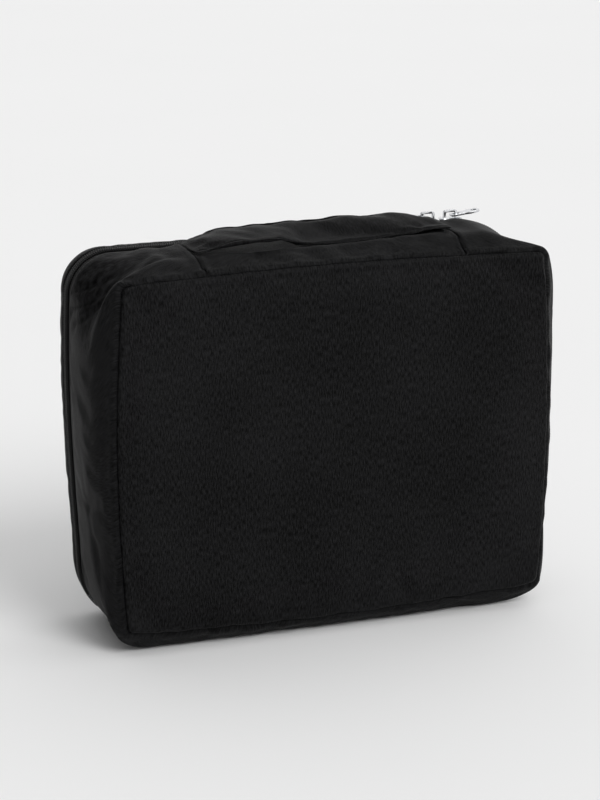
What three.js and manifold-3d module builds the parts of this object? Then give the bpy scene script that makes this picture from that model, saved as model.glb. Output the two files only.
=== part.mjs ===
// A padded toiletry bag with a fold-down lid, a two-slider zip, a carry handle and a stowed hanging hook.
// Millimetres, +Z up, X across the width, Y from the plain front panel to the lid, origin on the floor under
// the middle of the bag.
import * as THREE from "three";
import { mergeVertices } from "three/addons/utils/BufferGeometryUtils.js";
import Module from "manifold-3d";

const wasm = await Module();
wasm.setup();

const depth = 80; // front seam to lid seam
const mouth = 60; // front seam to the middle of the zip
const seam = { half: 122.5, bottom: 13.5, top: 208, corner: 5 }; // sewn edge of the front panel
// how far the gusset swells beyond that edge, and the depth it needs to do so
const puff = { sideTop: 12.5, sideMiddle: 2, sideBottom: 9, top: 5.5, bottom: 13.5, reach: 18, bottomReach: 14 };
// corner radii: topFront where the swell is full, the others at the zip
const corner = { topFront: 45, topLeft: 24, topRight: 40, bottomLeft: 37, bottomRight: 46, full: 19, settled: 55 };
const zipBand = { end: 68 };
const bow = { side: 4, top: 2.5, bottom: 4 }; // the front seam is not quite straight
const lidTuck = 6; // the lid's sides draw in by this much at its seam
const crown = 3; // the big panels swell by this much in the middle

const gap = 0.3; // left between neighbouring layers
const cloth = 0.8;
const foam = 1.5;
const liner = 0.6;
const tapeK = 1.2; // the zip tape's outer face lies this far under the skin
const coil = { inner: 0.7, outer: 3.1, under: 0.9, over: 1.1 }; // half chain, from the zip's centre line

const handle = { half: 75, front: 19, back: 51, liftFront: 5, liftBack: 7.5, thickness: 1.2 };
const sliderRest = { left: 77, right: 91 };
const skinTop = seam.top + puff.top;
const hook = { y: 63.5, z: skinTop - 7.5, tilt: 24, wire: 1.6, tip: 2.6 };
const lidLayer = { lining: 76.4, mesh: 70.5 };
const pocketZip = { z: 178, half: 105, sliderX: -95, scale: 0.75 };

const colours = { shell: 0x19191a, lining: 0x2c2d30, foam: 0x3c3c3c, tape: 0x131314, steel: 0xc9ccd0 };

// Small helpers
const clamp = (x) => Math.min(1, Math.max(0, x));
const smooth = (x) => clamp(x) ** 2 * (3 - 2 * clamp(x));
const mix = (a, b, t) => a + (b - a) * t;

const flare = (y, reach) => Math.sin((Math.PI / 2) * clamp(y / reach));

// A quarter ellipse that draws the lid in between the zip band and its seam.
function tuck(y) {
  const t = clamp((y - zipBand.end) / (depth - zipBand.end));
  return lidTuck * (1 - Math.sqrt(1 - t * t * 0.98));
}

// The bag's cross-section at depth y, moved inwards by k.
function section(y, k) {
  const f = flare(y, puff.reach);
  const fBottom = flare(y, puff.bottomReach);
  const grown = smooth(y / corner.full); // the corners grow round quickly
  const settled = smooth((y - corner.full) / (corner.settled - corner.full));
  const inset = tuck(y) + k;
  const round = (first, last) => Math.max(1, mix(seam.corner, mix(first, last, settled), grown) - inset);
  return {
    halfTop: seam.half + puff.sideTop * f - inset,
    halfBottom: seam.half + puff.sideBottom * f - inset,
    middle: puff.sideMiddle * f,
    top: seam.top + puff.top * f - inset,
    bottom: seam.bottom - puff.bottom * fBottom + 0.6 * tuck(y) + k,
    topLeft: round(corner.topFront, corner.topLeft),
    topRight: round(corner.topFront, corner.topRight),
    bottomLeft: round(corner.bottomLeft, corner.bottomLeft),
    bottomRight: round(corner.bottomRight, corner.bottomRight),
    bow: { side: bow.side * (1 - f), top: bow.top * (1 - f), bottom: bow.bottom * (1 - fBottom) },
  };
}

// The share of each side that is half a corner at either end; the rest is the straight.
const cornerShare = 0.2;

// A point of the skin. s runs round the bag, from 0 at the lower left corner up the left side (0 to 1), along
// the top (1 to 2), down the right side (2 to 3) and back along the bottom (3 to 4).
function skin(s, y, k = 0) {
  const c = section(y, k);
  const turn = ((s % 4) + 4) % 4;
  const side = Math.floor(turn);
  const f = turn - side;
  const straight = clamp((f - cornerShare) / (1 - 2 * cornerShare));
  const early = f < cornerShare;
  const late = f > 1 - cornerShare;
  const swing = early ? 1 - f / cornerShare : late ? (f - 1) / cornerShare + 1 : 0; // 1 at the corner's middle
  const mirror = side === 2 ? 1 : -1;
  const swell = Math.sin(Math.PI * straight);
  let x, z;
  if (side === 0 || side === 2) {
    const up = side === 0 ? straight : 1 - straight;
    const atTop = side === 0 ? late : early;
    const [low, high] = side === 0 ? [c.bottomLeft, c.topLeft] : [c.bottomRight, c.topRight];
    const r = atTop ? high : low;
    const a = (swing * Math.PI) / 4;
    const half = mix(c.halfBottom, c.halfTop, smooth(up)) + c.middle * Math.sin(Math.PI * up);
    const bend = early || late ? r * (1 - Math.cos(a)) : 0;
    const lift = early || late ? r * Math.sin(a) * (atTop ? 1 : -1) : 0;
    x = mirror * (half - bend + c.bow.side * swell);
    z = mix(c.bottom + low, c.top - high, up) + lift;
  } else {
    const isTop = side === 1;
    const [first, last] = isTop ? [c.topLeft, c.topRight] : [c.bottomRight, c.bottomLeft];
    const half = isTop ? c.halfTop : c.halfBottom;
    const r = early ? first : last;
    const a = (swing * Math.PI) / 4;
    const along = mix(first - half, half - last, straight) + (early ? -1 : late ? 1 : 0) * r * Math.sin(a);
    const bend = early || late ? r * (1 - Math.cos(a)) : 0;
    x = isTop ? along : -along;
    z = isTop ? c.top - bend + c.bow.top * swell : c.bottom + bend - c.bow.bottom * swell;
  }
  return new THREE.Vector3(x, y, z);
}

// Where x lies on the top straight at depth y, as s.
function topAt(x, y) {
  const c = section(y, 0);
  const start = c.topLeft - c.halfTop;
  const end = c.halfTop - c.topRight;
  return 1 + mix(cornerShare, 1 - cornerShare, (x - start) / (end - start));
}

// Stations along s: fine round the corners, coarse on the straights.
function stations(from, to) {
  const perHalfCorner = 4;
  const perStraight = 3;
  const stops = [];
  for (let side = Math.floor(from) - 1; side < to + 1; side++) {
    for (let i = 0; i < perHalfCorner; i++) stops.push(side + (cornerShare * i) / perHalfCorner);
    for (let i = 0; i < perStraight; i++)
      stops.push(side + cornerShare + ((1 - 2 * cornerShare) * i) / perStraight);
    for (let i = 0; i < perHalfCorner; i++)
      stops.push(side + 1 - cornerShare + (cornerShare * i) / perHalfCorner);
  }
  return [from, ...stops.filter((s) => s > from + 0.01 && s < to - 0.01), to];
}

// A box whose corners and grid points are moved by place(u, v, w), with u, v and w from 0 to 1.
function shapedBox(nu, nv, nw, place) {
  const g = new THREE.BoxGeometry(1, 1, 1, nu, nv, nw);
  const p = g.getAttribute("position");
  for (let i = 0; i < p.count; i++) {
    const q = place(p.getX(i) + 0.5, p.getY(i) + 0.5, p.getZ(i) + 0.5);
    p.setXYZ(i, q.x, q.y, q.z);
  }
  return facingOut(g);
}

// A closed ring round the bag, whose cross-section is a list of [y, k] corners.
function ring(corners) {
  const stops = stations(0, 4);
  const n = stops.length - 1;
  const g = new THREE.TorusGeometry(2, 1, corners.length, n);
  const p = g.getAttribute("position");
  const uv = g.getAttribute("uv");
  for (let i = 0; i < p.count; i++) {
    const [y, k] = corners[Math.round(uv.getY(i) * corners.length) % corners.length];
    const q = skin(stops[Math.round(uv.getX(i) * n)], y, k);
    p.setXYZ(i, q.x, q.y, q.z);
  }
  return facingOut(g);
}

function welded(geometry) {
  const g = geometry.clone();
  g.deleteAttribute("normal");
  g.deleteAttribute("uv");
  return mergeVertices(g, 1e-3);
}

function solid(geometry) {
  const g = welded(geometry);
  return new wasm.Manifold(
    new wasm.Mesh({
      numProp: 3,
      vertProperties: new Float32Array(g.getAttribute("position").array),
      triVerts: new Uint32Array(g.index.array),
    }),
  );
}

function geometryOf(manifold) {
  const m = manifold.getMesh();
  const g = new THREE.BufferGeometry();
  g.setAttribute("position", new THREE.BufferAttribute(new Float32Array(m.vertProperties), 3));
  g.setIndex(new THREE.BufferAttribute(new Uint32Array(m.triVerts), 1));
  g.computeVertexNormals();
  return g;
}

// Turns every face round if a reshaped geometry came out inside out.
function facingOut(geometry) {
  const g = welded(geometry);
  if (solid(g).volume() < 0) {
    const index = g.index.array;
    for (let i = 0; i < index.length; i += 3) [index[i + 1], index[i + 2]] = [index[i + 2], index[i + 1]];
  }
  g.computeVertexNormals();
  return g;
}

const joined = (...geometries) =>
  geometryOf(geometries.map(solid).reduce((whole, next) => whole.add(next)));
const cut = (geometry, tool) => geometryOf(solid(geometry).subtract(solid(tool)));

const materials = {
  shell: new THREE.MeshStandardMaterial({ color: colours.shell, roughness: 0.62, metalness: 0 }),
  lining: new THREE.MeshStandardMaterial({ color: colours.lining, roughness: 0.7, metalness: 0 }),
  foam: new THREE.MeshStandardMaterial({ color: colours.foam, roughness: 0.9, metalness: 0 }),
  tape: new THREE.MeshStandardMaterial({ color: colours.tape, roughness: 0.8, metalness: 0 }),
  steel: new THREE.MeshStandardMaterial({ color: colours.steel, roughness: 0.2, metalness: 1 }),
};

const bag = new THREE.Group(); // the front seam lies at y = 0 in here
bag.position.y = -depth / 2;

function add(name, geometry, material, parent = bag) {
  const mesh = new THREE.Mesh(geometry, material);
  mesh.name = name;
  parent.add(mesh);
  return mesh;
}

// Strips that follow the skin
const depthStops = [0.6, 2.4, 4.8, 7.5, 10.5, 14, 18, 23, 30, 40, 47.4, 50]; // shared, so layers stay parallel

// A strip of cloth from depth y0 to y1 and from s0(y) to s1(y), between insets k0 and k1.
function strip(s0, s1, y0, y1, k0, k1) {
  const from = typeof s0 === "function" ? s0 : () => s0;
  const to = typeof s1 === "function" ? s1 : () => s1;
  const stops = stations(from(mouth), to(mouth));
  const share = stops.map((s) => (s - stops[0]) / (stops[stops.length - 1] - stops[0]));
  const [near, far] = [Math.min(y0, y1), Math.max(y0, y1)];
  const rows = [near, ...depthStops.filter((y) => y > near + 0.3 && y < far - 0.3), far];
  const n = stops.length - 1;
  const steps = rows.length - 1;
  return shapedBox(n, steps, 1, (u, v, w) => {
    const y = rows[Math.round(v * steps)];
    return skin(mix(from(y), to(y), share[Math.round(u * n)]), y, mix(k1, k0, w));
  });
}

const leftTopSeam = (y) => topAt(-handle.half - gap / 2, y);
const rightTopSeam = (y) => topAt(handle.half + gap / 2, y);
const centreStart = (y) => topAt(-handle.half + gap / 2, y);
const centreEnd = (y) => topAt(handle.half - gap / 2, y);
const sewn = 0.004; // half the gap between two pieces sewn at a bottom corner, as a share of s

function addGusset() {
  const end = 53.5;
  const pieces = [
    ["left", sewn, leftTopSeam],
    ["top", centreStart, centreEnd],
    ["right", rightTopSeam, 3 - sewn],
    ["bottom", 3 + sewn, 4 - sewn],
  ];
  for (const [place, s0, s1] of pieces) {
    const y1 = place === "bottom" ? mouth - gap : end;
    add("gusset_" + place, strip(s0, s1, 0.6, y1, 0, cloth), materials.shell);
    const liningEnd = place === "bottom" ? mouth - gap : 47.4;
    const lining = strip(s0, s1, 4.8, liningEnd, tapeK, tapeK + liner);
    add("gusset_lining_" + place, lining, materials.lining);
  }
}

// Big panels
// A sheet that fills the bag's outline at depth y, inset by k, crowned by rise, with its faces at y0 and y1.
function panel(y, k, y0, y1, rise) {
  const edge = (s) => skin(s, y, k);
  const corners = [edge(0), edge(1), edge(2), edge(3)]; // lower left, upper left, upper right, lower right
  return shapedBox(12, 10, 1, (u, v, w) => {
    const left = edge(v * 0.9999);
    const right = edge(2 + (1 - v) * 0.9999);
    const top = edge(1 + u * 0.9999);
    const bottom = edge(3 + (1 - u) * 0.9999);
    const at = (axis) =>
      mix(left[axis], right[axis], u) +
      mix(bottom[axis], top[axis], v) -
      mix(mix(corners[0][axis], corners[3][axis], u), mix(corners[1][axis], corners[2][axis], u), v);
    const dome = rise * (1 - (2 * u - 1) ** 4) * (1 - (2 * v - 1) ** 4);
    return new THREE.Vector3(at("x"), mix(y0, y1, w) + dome, at("z"));
  });
}

function addPanels() {
  add("front_panel", panel(0, 0, -cloth - 0.1, -0.1, -crown + cloth), materials.shell);
  add("front_foam", panel(0, 4, 0.4, 0.4 + foam, -crown + cloth), materials.foam);
  add("front_lining", panel(0, 4.5, 2.3, 2.3 + liner, -crown + cloth), materials.lining);
  add("lid_panel", panel(depth, 0, depth + 0.1, depth + 0.1 + cloth, crown - cloth), materials.shell);
  add("lid_foam", panel(depth, 4, depth - 0.4 - foam, depth - 0.4, crown - cloth), materials.foam);
  add("lid_lining", panel(depth, 4.5, lidLayer.lining + 0.6, lidLayer.lining + 1.2, 1), materials.lining);
}

function addBindings() {
  const square = (y0, y1, k0, k1) => [
    [y0, k0],
    [y1, k0],
    [y1, k1],
    [y0, k1],
  ];
  add("front_seam_binding", ring(square(3.4, 4.3, 2.4, 8)), materials.tape);
  add("mouth_binding", ring(square(44, 50, tapeK + liner + 0.4, tapeK + liner + 1.2)), materials.tape);
  add("lid_seam_binding", ring(square(75.2, 76.4, 2.6, 6)), materials.tape);
}

function addLidGusset() {
  const outer = [66.5, 69.5, 72.5, 75, 77, 78.6, 79.6].map((y) => [y, 0]);
  const inner = outer.map(([y]) => [y, cloth]).reverse();
  add("lid_gusset", ring([...outer, ...inner]), materials.shell);
  const lining = [66.5, 69.5, 72.5, 74.8].map((y) => [y, tapeK + liner + 0.3]);
  const back = lining.map(([y]) => [y, tapeK + liner * 2 + 0.3]).reverse();
  add("lid_gusset_lining", ring([...lining, ...back]), materials.lining);
}

// Zip
const zipStart = sewn; // the zip ends halfway round the bottom corners
const zipEnd = 3 - sewn;

function addZip() {
  for (const [place, way] of [["main", -1], ["lid", 1]]) {
    const y = (fromCentre) => mouth + way * fromCentre;
    const tape = strip(zipStart, zipEnd, y(12), y(coil.inner), tapeK, tapeK + liner);
    add("zip_tape_" + place, tape, materials.tape);
    const half = strip(zipStart, zipEnd, y(coil.outer), y(coil.inner), -coil.over, coil.under);
    add("zip_coil_" + place, half, materials.tape);
  }
}

// The fabric hinge lies inside, over the two bottom edges.
function addHingeStrip() {
  const top = tapeK + 2 * liner + 0.6;
  const left = -92;
  const right = 83;
  const g = new THREE.BoxGeometry(right - left, 20, liner).translate((left + right) / 2, mouth, top + liner / 2);
  add("hinge_strip", g, materials.tape);
  add("lid_hinge_hem", strip(3 + sewn, 4 - sewn, mouth + gap, 66.2, 0, cloth), materials.shell);
}

// Slider and pull
// Local axes: x along the zip with the nose at +x, z outwards from the tape's face.
const sliderSize = { length: 12, nose: 9, tail: 7.4, top: 3.0, plate: 1.2, under: 1.5 };
const bridge = { length: 8.4, height: 4.6, rod: 1.3, width: 1.8 };
const pivot = { x: -1, z: sliderSize.top + sliderSize.plate + 1.35 };

function plateOutline() {
  const { length, nose, tail } = sliderSize;
  const s = new THREE.Shape();
  s.moveTo(-length / 2, -tail / 2 + 1);
  s.quadraticCurveTo(-length / 2, -tail / 2, -length / 2 + 1, -tail / 2);
  s.lineTo(0, -tail / 2);
  s.lineTo(length / 2 - 2, -nose / 2);
  s.quadraticCurveTo(length / 2, -nose / 2, length / 2, 0);
  s.quadraticCurveTo(length / 2, nose / 2, length / 2 - 2, nose / 2);
  s.lineTo(0, tail / 2);
  s.lineTo(-length / 2 + 1, tail / 2);
  s.quadraticCurveTo(-length / 2, tail / 2, -length / 2, tail / 2 - 1);
  return s;
}

function sliderGeometry(flanges) {
  const { length, tail, top, plate, under } = sliderSize;
  const flat = { depth: plate, bevelEnabled: false, curveSegments: 4 };
  const upper = new THREE.ExtrudeGeometry(plateOutline(), flat).translate(0, 0, top);
  const lower = new THREE.ExtrudeGeometry(plateOutline(), flat).translate(0, 0, -under - plate);
  const flange = (way) =>
    new THREE.BoxGeometry(length * 0.7, 0.5, top - 0.4).translate(-1.6, way * (tail / 2 - 0.25), (top + 0.5) / 2);
  const neck = new THREE.BoxGeometry(3, 0.7, top + under + 0.4).translate(3.6, 0, (top - under) / 2);
  const arch = new THREE.Shape();
  const half = bridge.length / 2;
  const { height, rod } = bridge;
  arch.moveTo(-half, -0.2);
  arch.lineTo(-half, height - 1.8);
  arch.quadraticCurveTo(-half, height, -half + 1.8, height);
  arch.lineTo(half - 1.8, height);
  arch.quadraticCurveTo(half, height, half, height - 1.8);
  arch.lineTo(half, -0.2);
  arch.lineTo(half - rod, -0.2);
  arch.lineTo(half - rod, height - rod - 0.9);
  arch.quadraticCurveTo(half - rod, height - rod, half - rod - 0.9, height - rod);
  arch.lineTo(-half + rod + 0.9, height - rod);
  arch.quadraticCurveTo(-half + rod, height - rod, -half + rod, height - rod - 0.9);
  arch.lineTo(-half + rod, -0.2);
  const lug = new THREE.ExtrudeGeometry(arch, { depth: bridge.width, bevelEnabled: false, curveSegments: 3 })
    .translate(0, 0, -bridge.width / 2)
    .rotateX(Math.PI / 2)
    .translate(0, 0, top + plate);
  return joined(upper, lower, ...flanges.map(flange), neck, lug);
}

// The pull lies along -x from its crossbar, which sits at the local origin under the bridge.
function pullGeometry() {
  const tab = new THREE.Shape();
  const eye = 2.6;
  const wide = 3.4;
  const long = 17;
  tab.moveTo(0.6, -eye);
  tab.lineTo(-5.4, -eye);
  tab.quadraticCurveTo(-8, -eye, -10, -wide);
  tab.lineTo(-long + wide, -wide);
  tab.absarc(-long + wide, 0, wide, -Math.PI / 2, Math.PI / 2, true);
  tab.lineTo(-10, wide);
  tab.quadraticCurveTo(-8, eye, -5.4, eye);
  tab.lineTo(0.6, eye);
  const window = new THREE.Path();
  window.moveTo(-0.6, -1.4);
  window.lineTo(-0.6, 1.4);
  window.lineTo(-4.6, 1.4);
  window.lineTo(-4.6, -1.4);
  const hole = new THREE.Path();
  hole.absarc(-long + wide, 0, 1.7, 0, Math.PI * 2, false);
  tab.holes.push(window, hole);
  return new THREE.ExtrudeGeometry(tab, { depth: 1.2, bevelEnabled: false, curveSegments: 5 }).translate(
    0,
    0,
    -0.6,
  );
}

// flanges lists the sides, 1 or -1, on which the slider's top plate turns down over the coil.
function addSlider(name, pullName, parent, flanges) {
  add(name, sliderGeometry(flanges), materials.steel, parent);
  const pull = add(pullName, pullGeometry(), materials.steel, parent);
  pull.position.set(pivot.x, 0, pivot.z);
  pull.rotation.y = THREE.MathUtils.degToRad(7); // its free end rests a little higher than the crossbar
  return parent;
}

function addSliders() {
  const zipTop = skinTop - tapeK;
  // The flange is on the bag's side only, so that the lid's half chain can leave the slider sideways.
  for (const [place, turn, bagSide] of [["left", 0, -1], ["right", Math.PI, 1]]) {
    const group = new THREE.Group();
    group.position.set(sliderRest[place], mouth, zipTop);
    group.rotation.z = turn;
    bag.add(addSlider("slider_" + place, "pull_" + place, group, [bagSide]));
  }
}

// Carry handle
function addHandle() {
  const { half, front, back, liftFront, liftBack, thickness } = handle;
  const rest = skinTop + 0.4;
  const end = half - 0.5;
  const g = shapedBox(20, 2, 1, (u, v, w) => {
    const across = 2 * u - 1;
    const arch = mix(liftFront, liftBack, v) * (1 - across ** 4);
    return new THREE.Vector3(end * across, mix(front, back, v), rest + arch + w * thickness);
  });
  add("carry_handle", g, materials.shell);
}

// Inside the main compartment
function addFrontPocket() {
  const half = 108;
  const low = 22.5;
  const high = 109.5;
  const hem = 8;
  const bulge = (across, up) => 5 + 9 * Math.sqrt(1 - 0.98 * across * across) * up;
  const sheet = (z0, z1, from, thick) =>
    shapedBox(12, 4, 1, (u, v, w) => {
      const across = 2 * u - 1;
      const z = mix(z0, z1, v);
      const up = clamp((z - low) / (high - low));
      return new THREE.Vector3(half * across, bulge(across, up) + from + thick * w, z);
    });
  add("front_pocket", sheet(low, high, 0, liner), materials.lining);
  add("front_pocket_elastic", sheet(high + gap, high + hem, 0, liner + 0.4), materials.tape);
  const label = new THREE.BoxGeometry(26, 0.4, 34).translate(70, 4.4, 176.5);
  add("care_label", label, materials.lining);
}

// Lid pocket
// The part of the lid's inside between two heights, as a flat sheet at depth y.
function lidSheet(zLow, zHigh, y, thick) {
  const outline = stations(0, 4)
    .slice(0, -1)
    .map((s) => skin(s, zipBand.end, 6.4))
    .map((p) => new THREE.Vector2(p.x, p.z));
  const g = new THREE.ExtrudeGeometry(new THREE.Shape(outline), { depth: thick, bevelEnabled: false });
  const whole = solid(facingOut(g.rotateX(Math.PI / 2).translate(0, y + thick, 0)));
  const band = new THREE.BoxGeometry(400, 40, zHigh - zLow).translate(0, y, (zHigh + zLow) / 2);
  return geometryOf(whole.intersect(solid(band)));
}

function addLidPocket() {
  const { z, half, scale, sliderX } = pocketZip;
  const y = lidLayer.mesh;
  const tapeHalf = 6;
  add("lid_mesh_pocket", lidSheet(0, z - tapeHalf - gap, y, liner), materials.lining);
  add("lid_pocket_band", lidSheet(z + tapeHalf + gap, 300, y, liner), materials.shell);
  for (const [place, way] of [["lower", -1], ["upper", 1]]) {
    const inner = coil.inner * scale;
    const tape = new THREE.BoxGeometry(2 * half + 16, liner, tapeHalf - inner).translate(
      0,
      y + liner / 2,
      z + (way * (tapeHalf + inner)) / 2,
    );
    add("pocket_zip_tape_" + place, tape, materials.tape);
    const wide = (coil.outer - coil.inner) * scale;
    const halfChain = new THREE.BoxGeometry(2 * half, 1.4, wide).translate(
      0,
      y - 0.3 - 0.7,
      z + way * (inner + wide / 2),
    );
    add("pocket_zip_coil_" + place, halfChain, materials.tape);
  }
  const group = new THREE.Group();
  group.position.set(sliderX, y, z);
  group.rotation.x = Math.PI / 2;
  group.scale.setScalar(scale);
  bag.add(addSlider("pocket_slider", "pocket_pull", group, [-1, 1]));
}

// Hanging hook
// Local axes: the crossbar runs along x through the origin and the hook hangs towards -z.
const hookBlock = { half: 10.5, lug: 8.3, top: -7.4, bottom: -15, thick: 6, barRadius: 1.5, bore: 2 };

function hookBase() {
  const { half, lug, top, bottom, thick, barRadius, bore } = hookBlock;
  const block = new THREE.BoxGeometry(2 * half, thick, top - bottom).translate(0, 0, (top + bottom) / 2);
  const lugs = [-1, 1].map((way) =>
    new THREE.BoxGeometry(half - lug, 4.4, 2.2 - top + 0.4).translate(
      (way * (half + lug)) / 2,
      0,
      (2.2 + top - 0.4) / 2,
    ),
  );
  const bar = new THREE.CylinderGeometry(barRadius, barRadius, 2 * lug + 0.6, 12).rotateZ(Math.PI / 2);
  const hole = new THREE.CylinderGeometry(bore, bore, 20, 16).rotateX(Math.PI / 2).translate(0, 0, bottom);
  return cut(joined(block, ...lugs, bar), hole);
}

function hookWire() {
  const path = new THREE.CatmullRomCurve3(
    [
      [0, -6.2],
      [0, -12],
      [0, -18],
      [4.5, -23],
      [13, -28],
      [17.5, -37.5],
      [13.5, -48.5],
      [4, -54.5],
      [-7, -53.5],
      [-15, -46.5],
      [-17.5, -37.5],
      [-17.5, -33.5],
    ].map(([x, z]) => new THREE.Vector3(x, 0, z)),
  );
  const sides = 8;
  const round = new THREE.Shape();
  for (let i = 0; i < sides; i++) {
    const a = (i / sides) * 2 * Math.PI;
    if (i) round.lineTo(hook.wire * Math.cos(a), hook.wire * Math.sin(a));
    else round.moveTo(hook.wire, 0);
  }
  const wire = new THREE.ExtrudeGeometry(round, { steps: 32, bevelEnabled: false, extrudePath: path });
  const head = new THREE.CylinderGeometry(3, 3, 1.6, 12).rotateX(Math.PI / 2).translate(0, 0, -5.9);
  return joined(facingOut(wire), head);
}

function hookTab() {
  const width = 15;
  const eye = new THREE.Shape();
  eye.absarc(0, 0, 2.7, 0, Math.PI * 2, false);
  const inside = new THREE.Path();
  inside.absarc(0, 0, 1.9, 0, Math.PI * 2, true);
  eye.holes.push(inside);
  const loop = new THREE.ExtrudeGeometry(eye, { depth: width, bevelEnabled: false, curveSegments: 7 })
    .rotateY(Math.PI / 2)
    .rotateX(Math.PI / 2)
    .translate(-width / 2, hook.y, hook.z);
  const start = new THREE.Vector2(49, skinTop - 5.4);
  const end = new THREE.Vector2(hook.y - 2.2, hook.z + 0.4);
  const strap = shapedBox(1, 4, 1, (u, v, w) => {
    const y = mix(start.x, end.x, v);
    const z = mix(start.y, end.y, v);
    return new THREE.Vector3(width * (u - 0.5), y, z + 0.8 * w);
  });
  return joined(loop, strap);
}

function addHook() {
  add("hook_tab", hookTab(), materials.tape);
  const group = new THREE.Group();
  group.position.set(0, hook.y, hook.z);
  group.rotation.x = -THREE.MathUtils.degToRad(hook.tilt);
  bag.add(group);
  add("hook_base", hookBase(), materials.tape, group);
  add("hook_wire", hookWire(), materials.steel, group);
  const tip = new THREE.SphereGeometry(hook.tip, 12, 8).translate(-17.5, 0, -33.2 + gap + hook.tip);
  add("hook_tip", tip, materials.tape, group);
}

addPanels();
addGusset();
addBindings();
addLidGusset();
addZip();
addHingeStrip();
addSliders();
addHandle();
addFrontPocket();
addLidPocket();
addHook();

const root = new THREE.Group();
root.add(bag);
export default root;
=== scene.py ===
import math
import bmesh
import bpy
import numpy as np
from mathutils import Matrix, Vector


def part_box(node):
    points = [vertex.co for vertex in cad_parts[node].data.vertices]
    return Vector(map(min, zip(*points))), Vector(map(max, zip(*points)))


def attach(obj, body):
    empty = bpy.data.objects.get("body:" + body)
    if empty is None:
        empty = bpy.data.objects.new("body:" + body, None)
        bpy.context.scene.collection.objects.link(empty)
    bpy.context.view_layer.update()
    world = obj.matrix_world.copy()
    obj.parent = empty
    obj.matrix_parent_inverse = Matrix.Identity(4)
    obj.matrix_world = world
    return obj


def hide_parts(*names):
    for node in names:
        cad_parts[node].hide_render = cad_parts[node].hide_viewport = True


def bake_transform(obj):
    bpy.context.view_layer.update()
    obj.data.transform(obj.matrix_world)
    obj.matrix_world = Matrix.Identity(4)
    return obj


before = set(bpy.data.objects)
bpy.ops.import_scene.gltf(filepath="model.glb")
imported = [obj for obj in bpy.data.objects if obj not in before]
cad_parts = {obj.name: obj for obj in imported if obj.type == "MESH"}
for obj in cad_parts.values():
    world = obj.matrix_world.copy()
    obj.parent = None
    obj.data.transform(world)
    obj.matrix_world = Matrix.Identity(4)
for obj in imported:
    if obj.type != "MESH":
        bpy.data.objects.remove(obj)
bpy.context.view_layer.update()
mm = 0.001  # lengths are in metres


def nodeBox(node):
    return (np.array(corner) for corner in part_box(node))


# the bag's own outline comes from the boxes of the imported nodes
panelLow, panelHigh = nodeBox("front_panel")
gussetLow, gussetHigh = nodeBox("gusset_left")
bottomLow, bottomHigh = nodeBox("gusset_bottom")
bag = {
    "bowSide": 4 * mm, "bowTop": 2.5 * mm, "bowBottom": 4 * mm,  # how far the front seam bows out
    "puffSideTop": 12.5 * mm, "puffSideMiddle": 2 * mm, "puffSideBottom": 9 * mm,  # how far the gusset swells
    "reach": 18 * mm, "reachBottom": 14 * mm,  # depth over which it does so
    "mouth": 60 * mm, "depth": 80 * mm, "zipEnd": 68 * mm, "lidTuck": 6 * mm, "crown": 3 * mm,
    "cornerSeam": 5 * mm, "cornerTopFront": 45 * mm, "cornerFull": 19 * mm, "cornerSettled": 55 * mm,
    "cornerTopLeft": 24 * mm, "cornerTopRight": 40 * mm, "cornerBottomLeft": 37 * mm,
    "cornerBottomRight": 46 * mm,
    "cornerShare": 0.2,  # share of each side's s that is half a corner
}
bag["half"] = panelHigh[0] - bag["bowSide"]
bag["seamTop"] = panelHigh[2] - bag["bowTop"]
bag["seamBottom"] = panelLow[2] + bag["bowBottom"]
bag["puffTop"] = gussetHigh[2] - bag["seamTop"]
bag["puffBottom"] = bag["seamBottom"] - bottomLow[2]
bag["frontY"] = -bag["depth"] / 2
skinTop = gussetHigh[2]
mouthY = bag["frontY"] + bag["mouth"]


def smooth(x):
    x = np.clip(x, 0, 1)
    return x * x * (3 - 2 * x)


def mix(a, b, t):
    return a + (b - a) * t


# a quarter ellipse that draws the lid in between the zip and its seam
def lidDraw(d):
    t = np.clip((d - bag["zipEnd"]) / (bag["depth"] - bag["zipEnd"]), 0, 1)
    return bag["lidTuck"] * (1 - np.sqrt(1 - 0.98 * t * t))


def flare(d, reach):
    return np.sin(math.pi / 2 * np.clip(d / reach, 0, 1))


# radius of a corner at depth d: small at the seam, first once the cloth has swelled, last at the zip
def cornerRadius(d, first, last, inset):
    settled = smooth((d - bag["cornerFull"]) / (bag["cornerSettled"] - bag["cornerFull"]))
    radius = mix(bag["cornerSeam"], mix(first, last, settled), smooth(d / bag["cornerFull"]))
    return np.maximum(mm, radius - inset)


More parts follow.
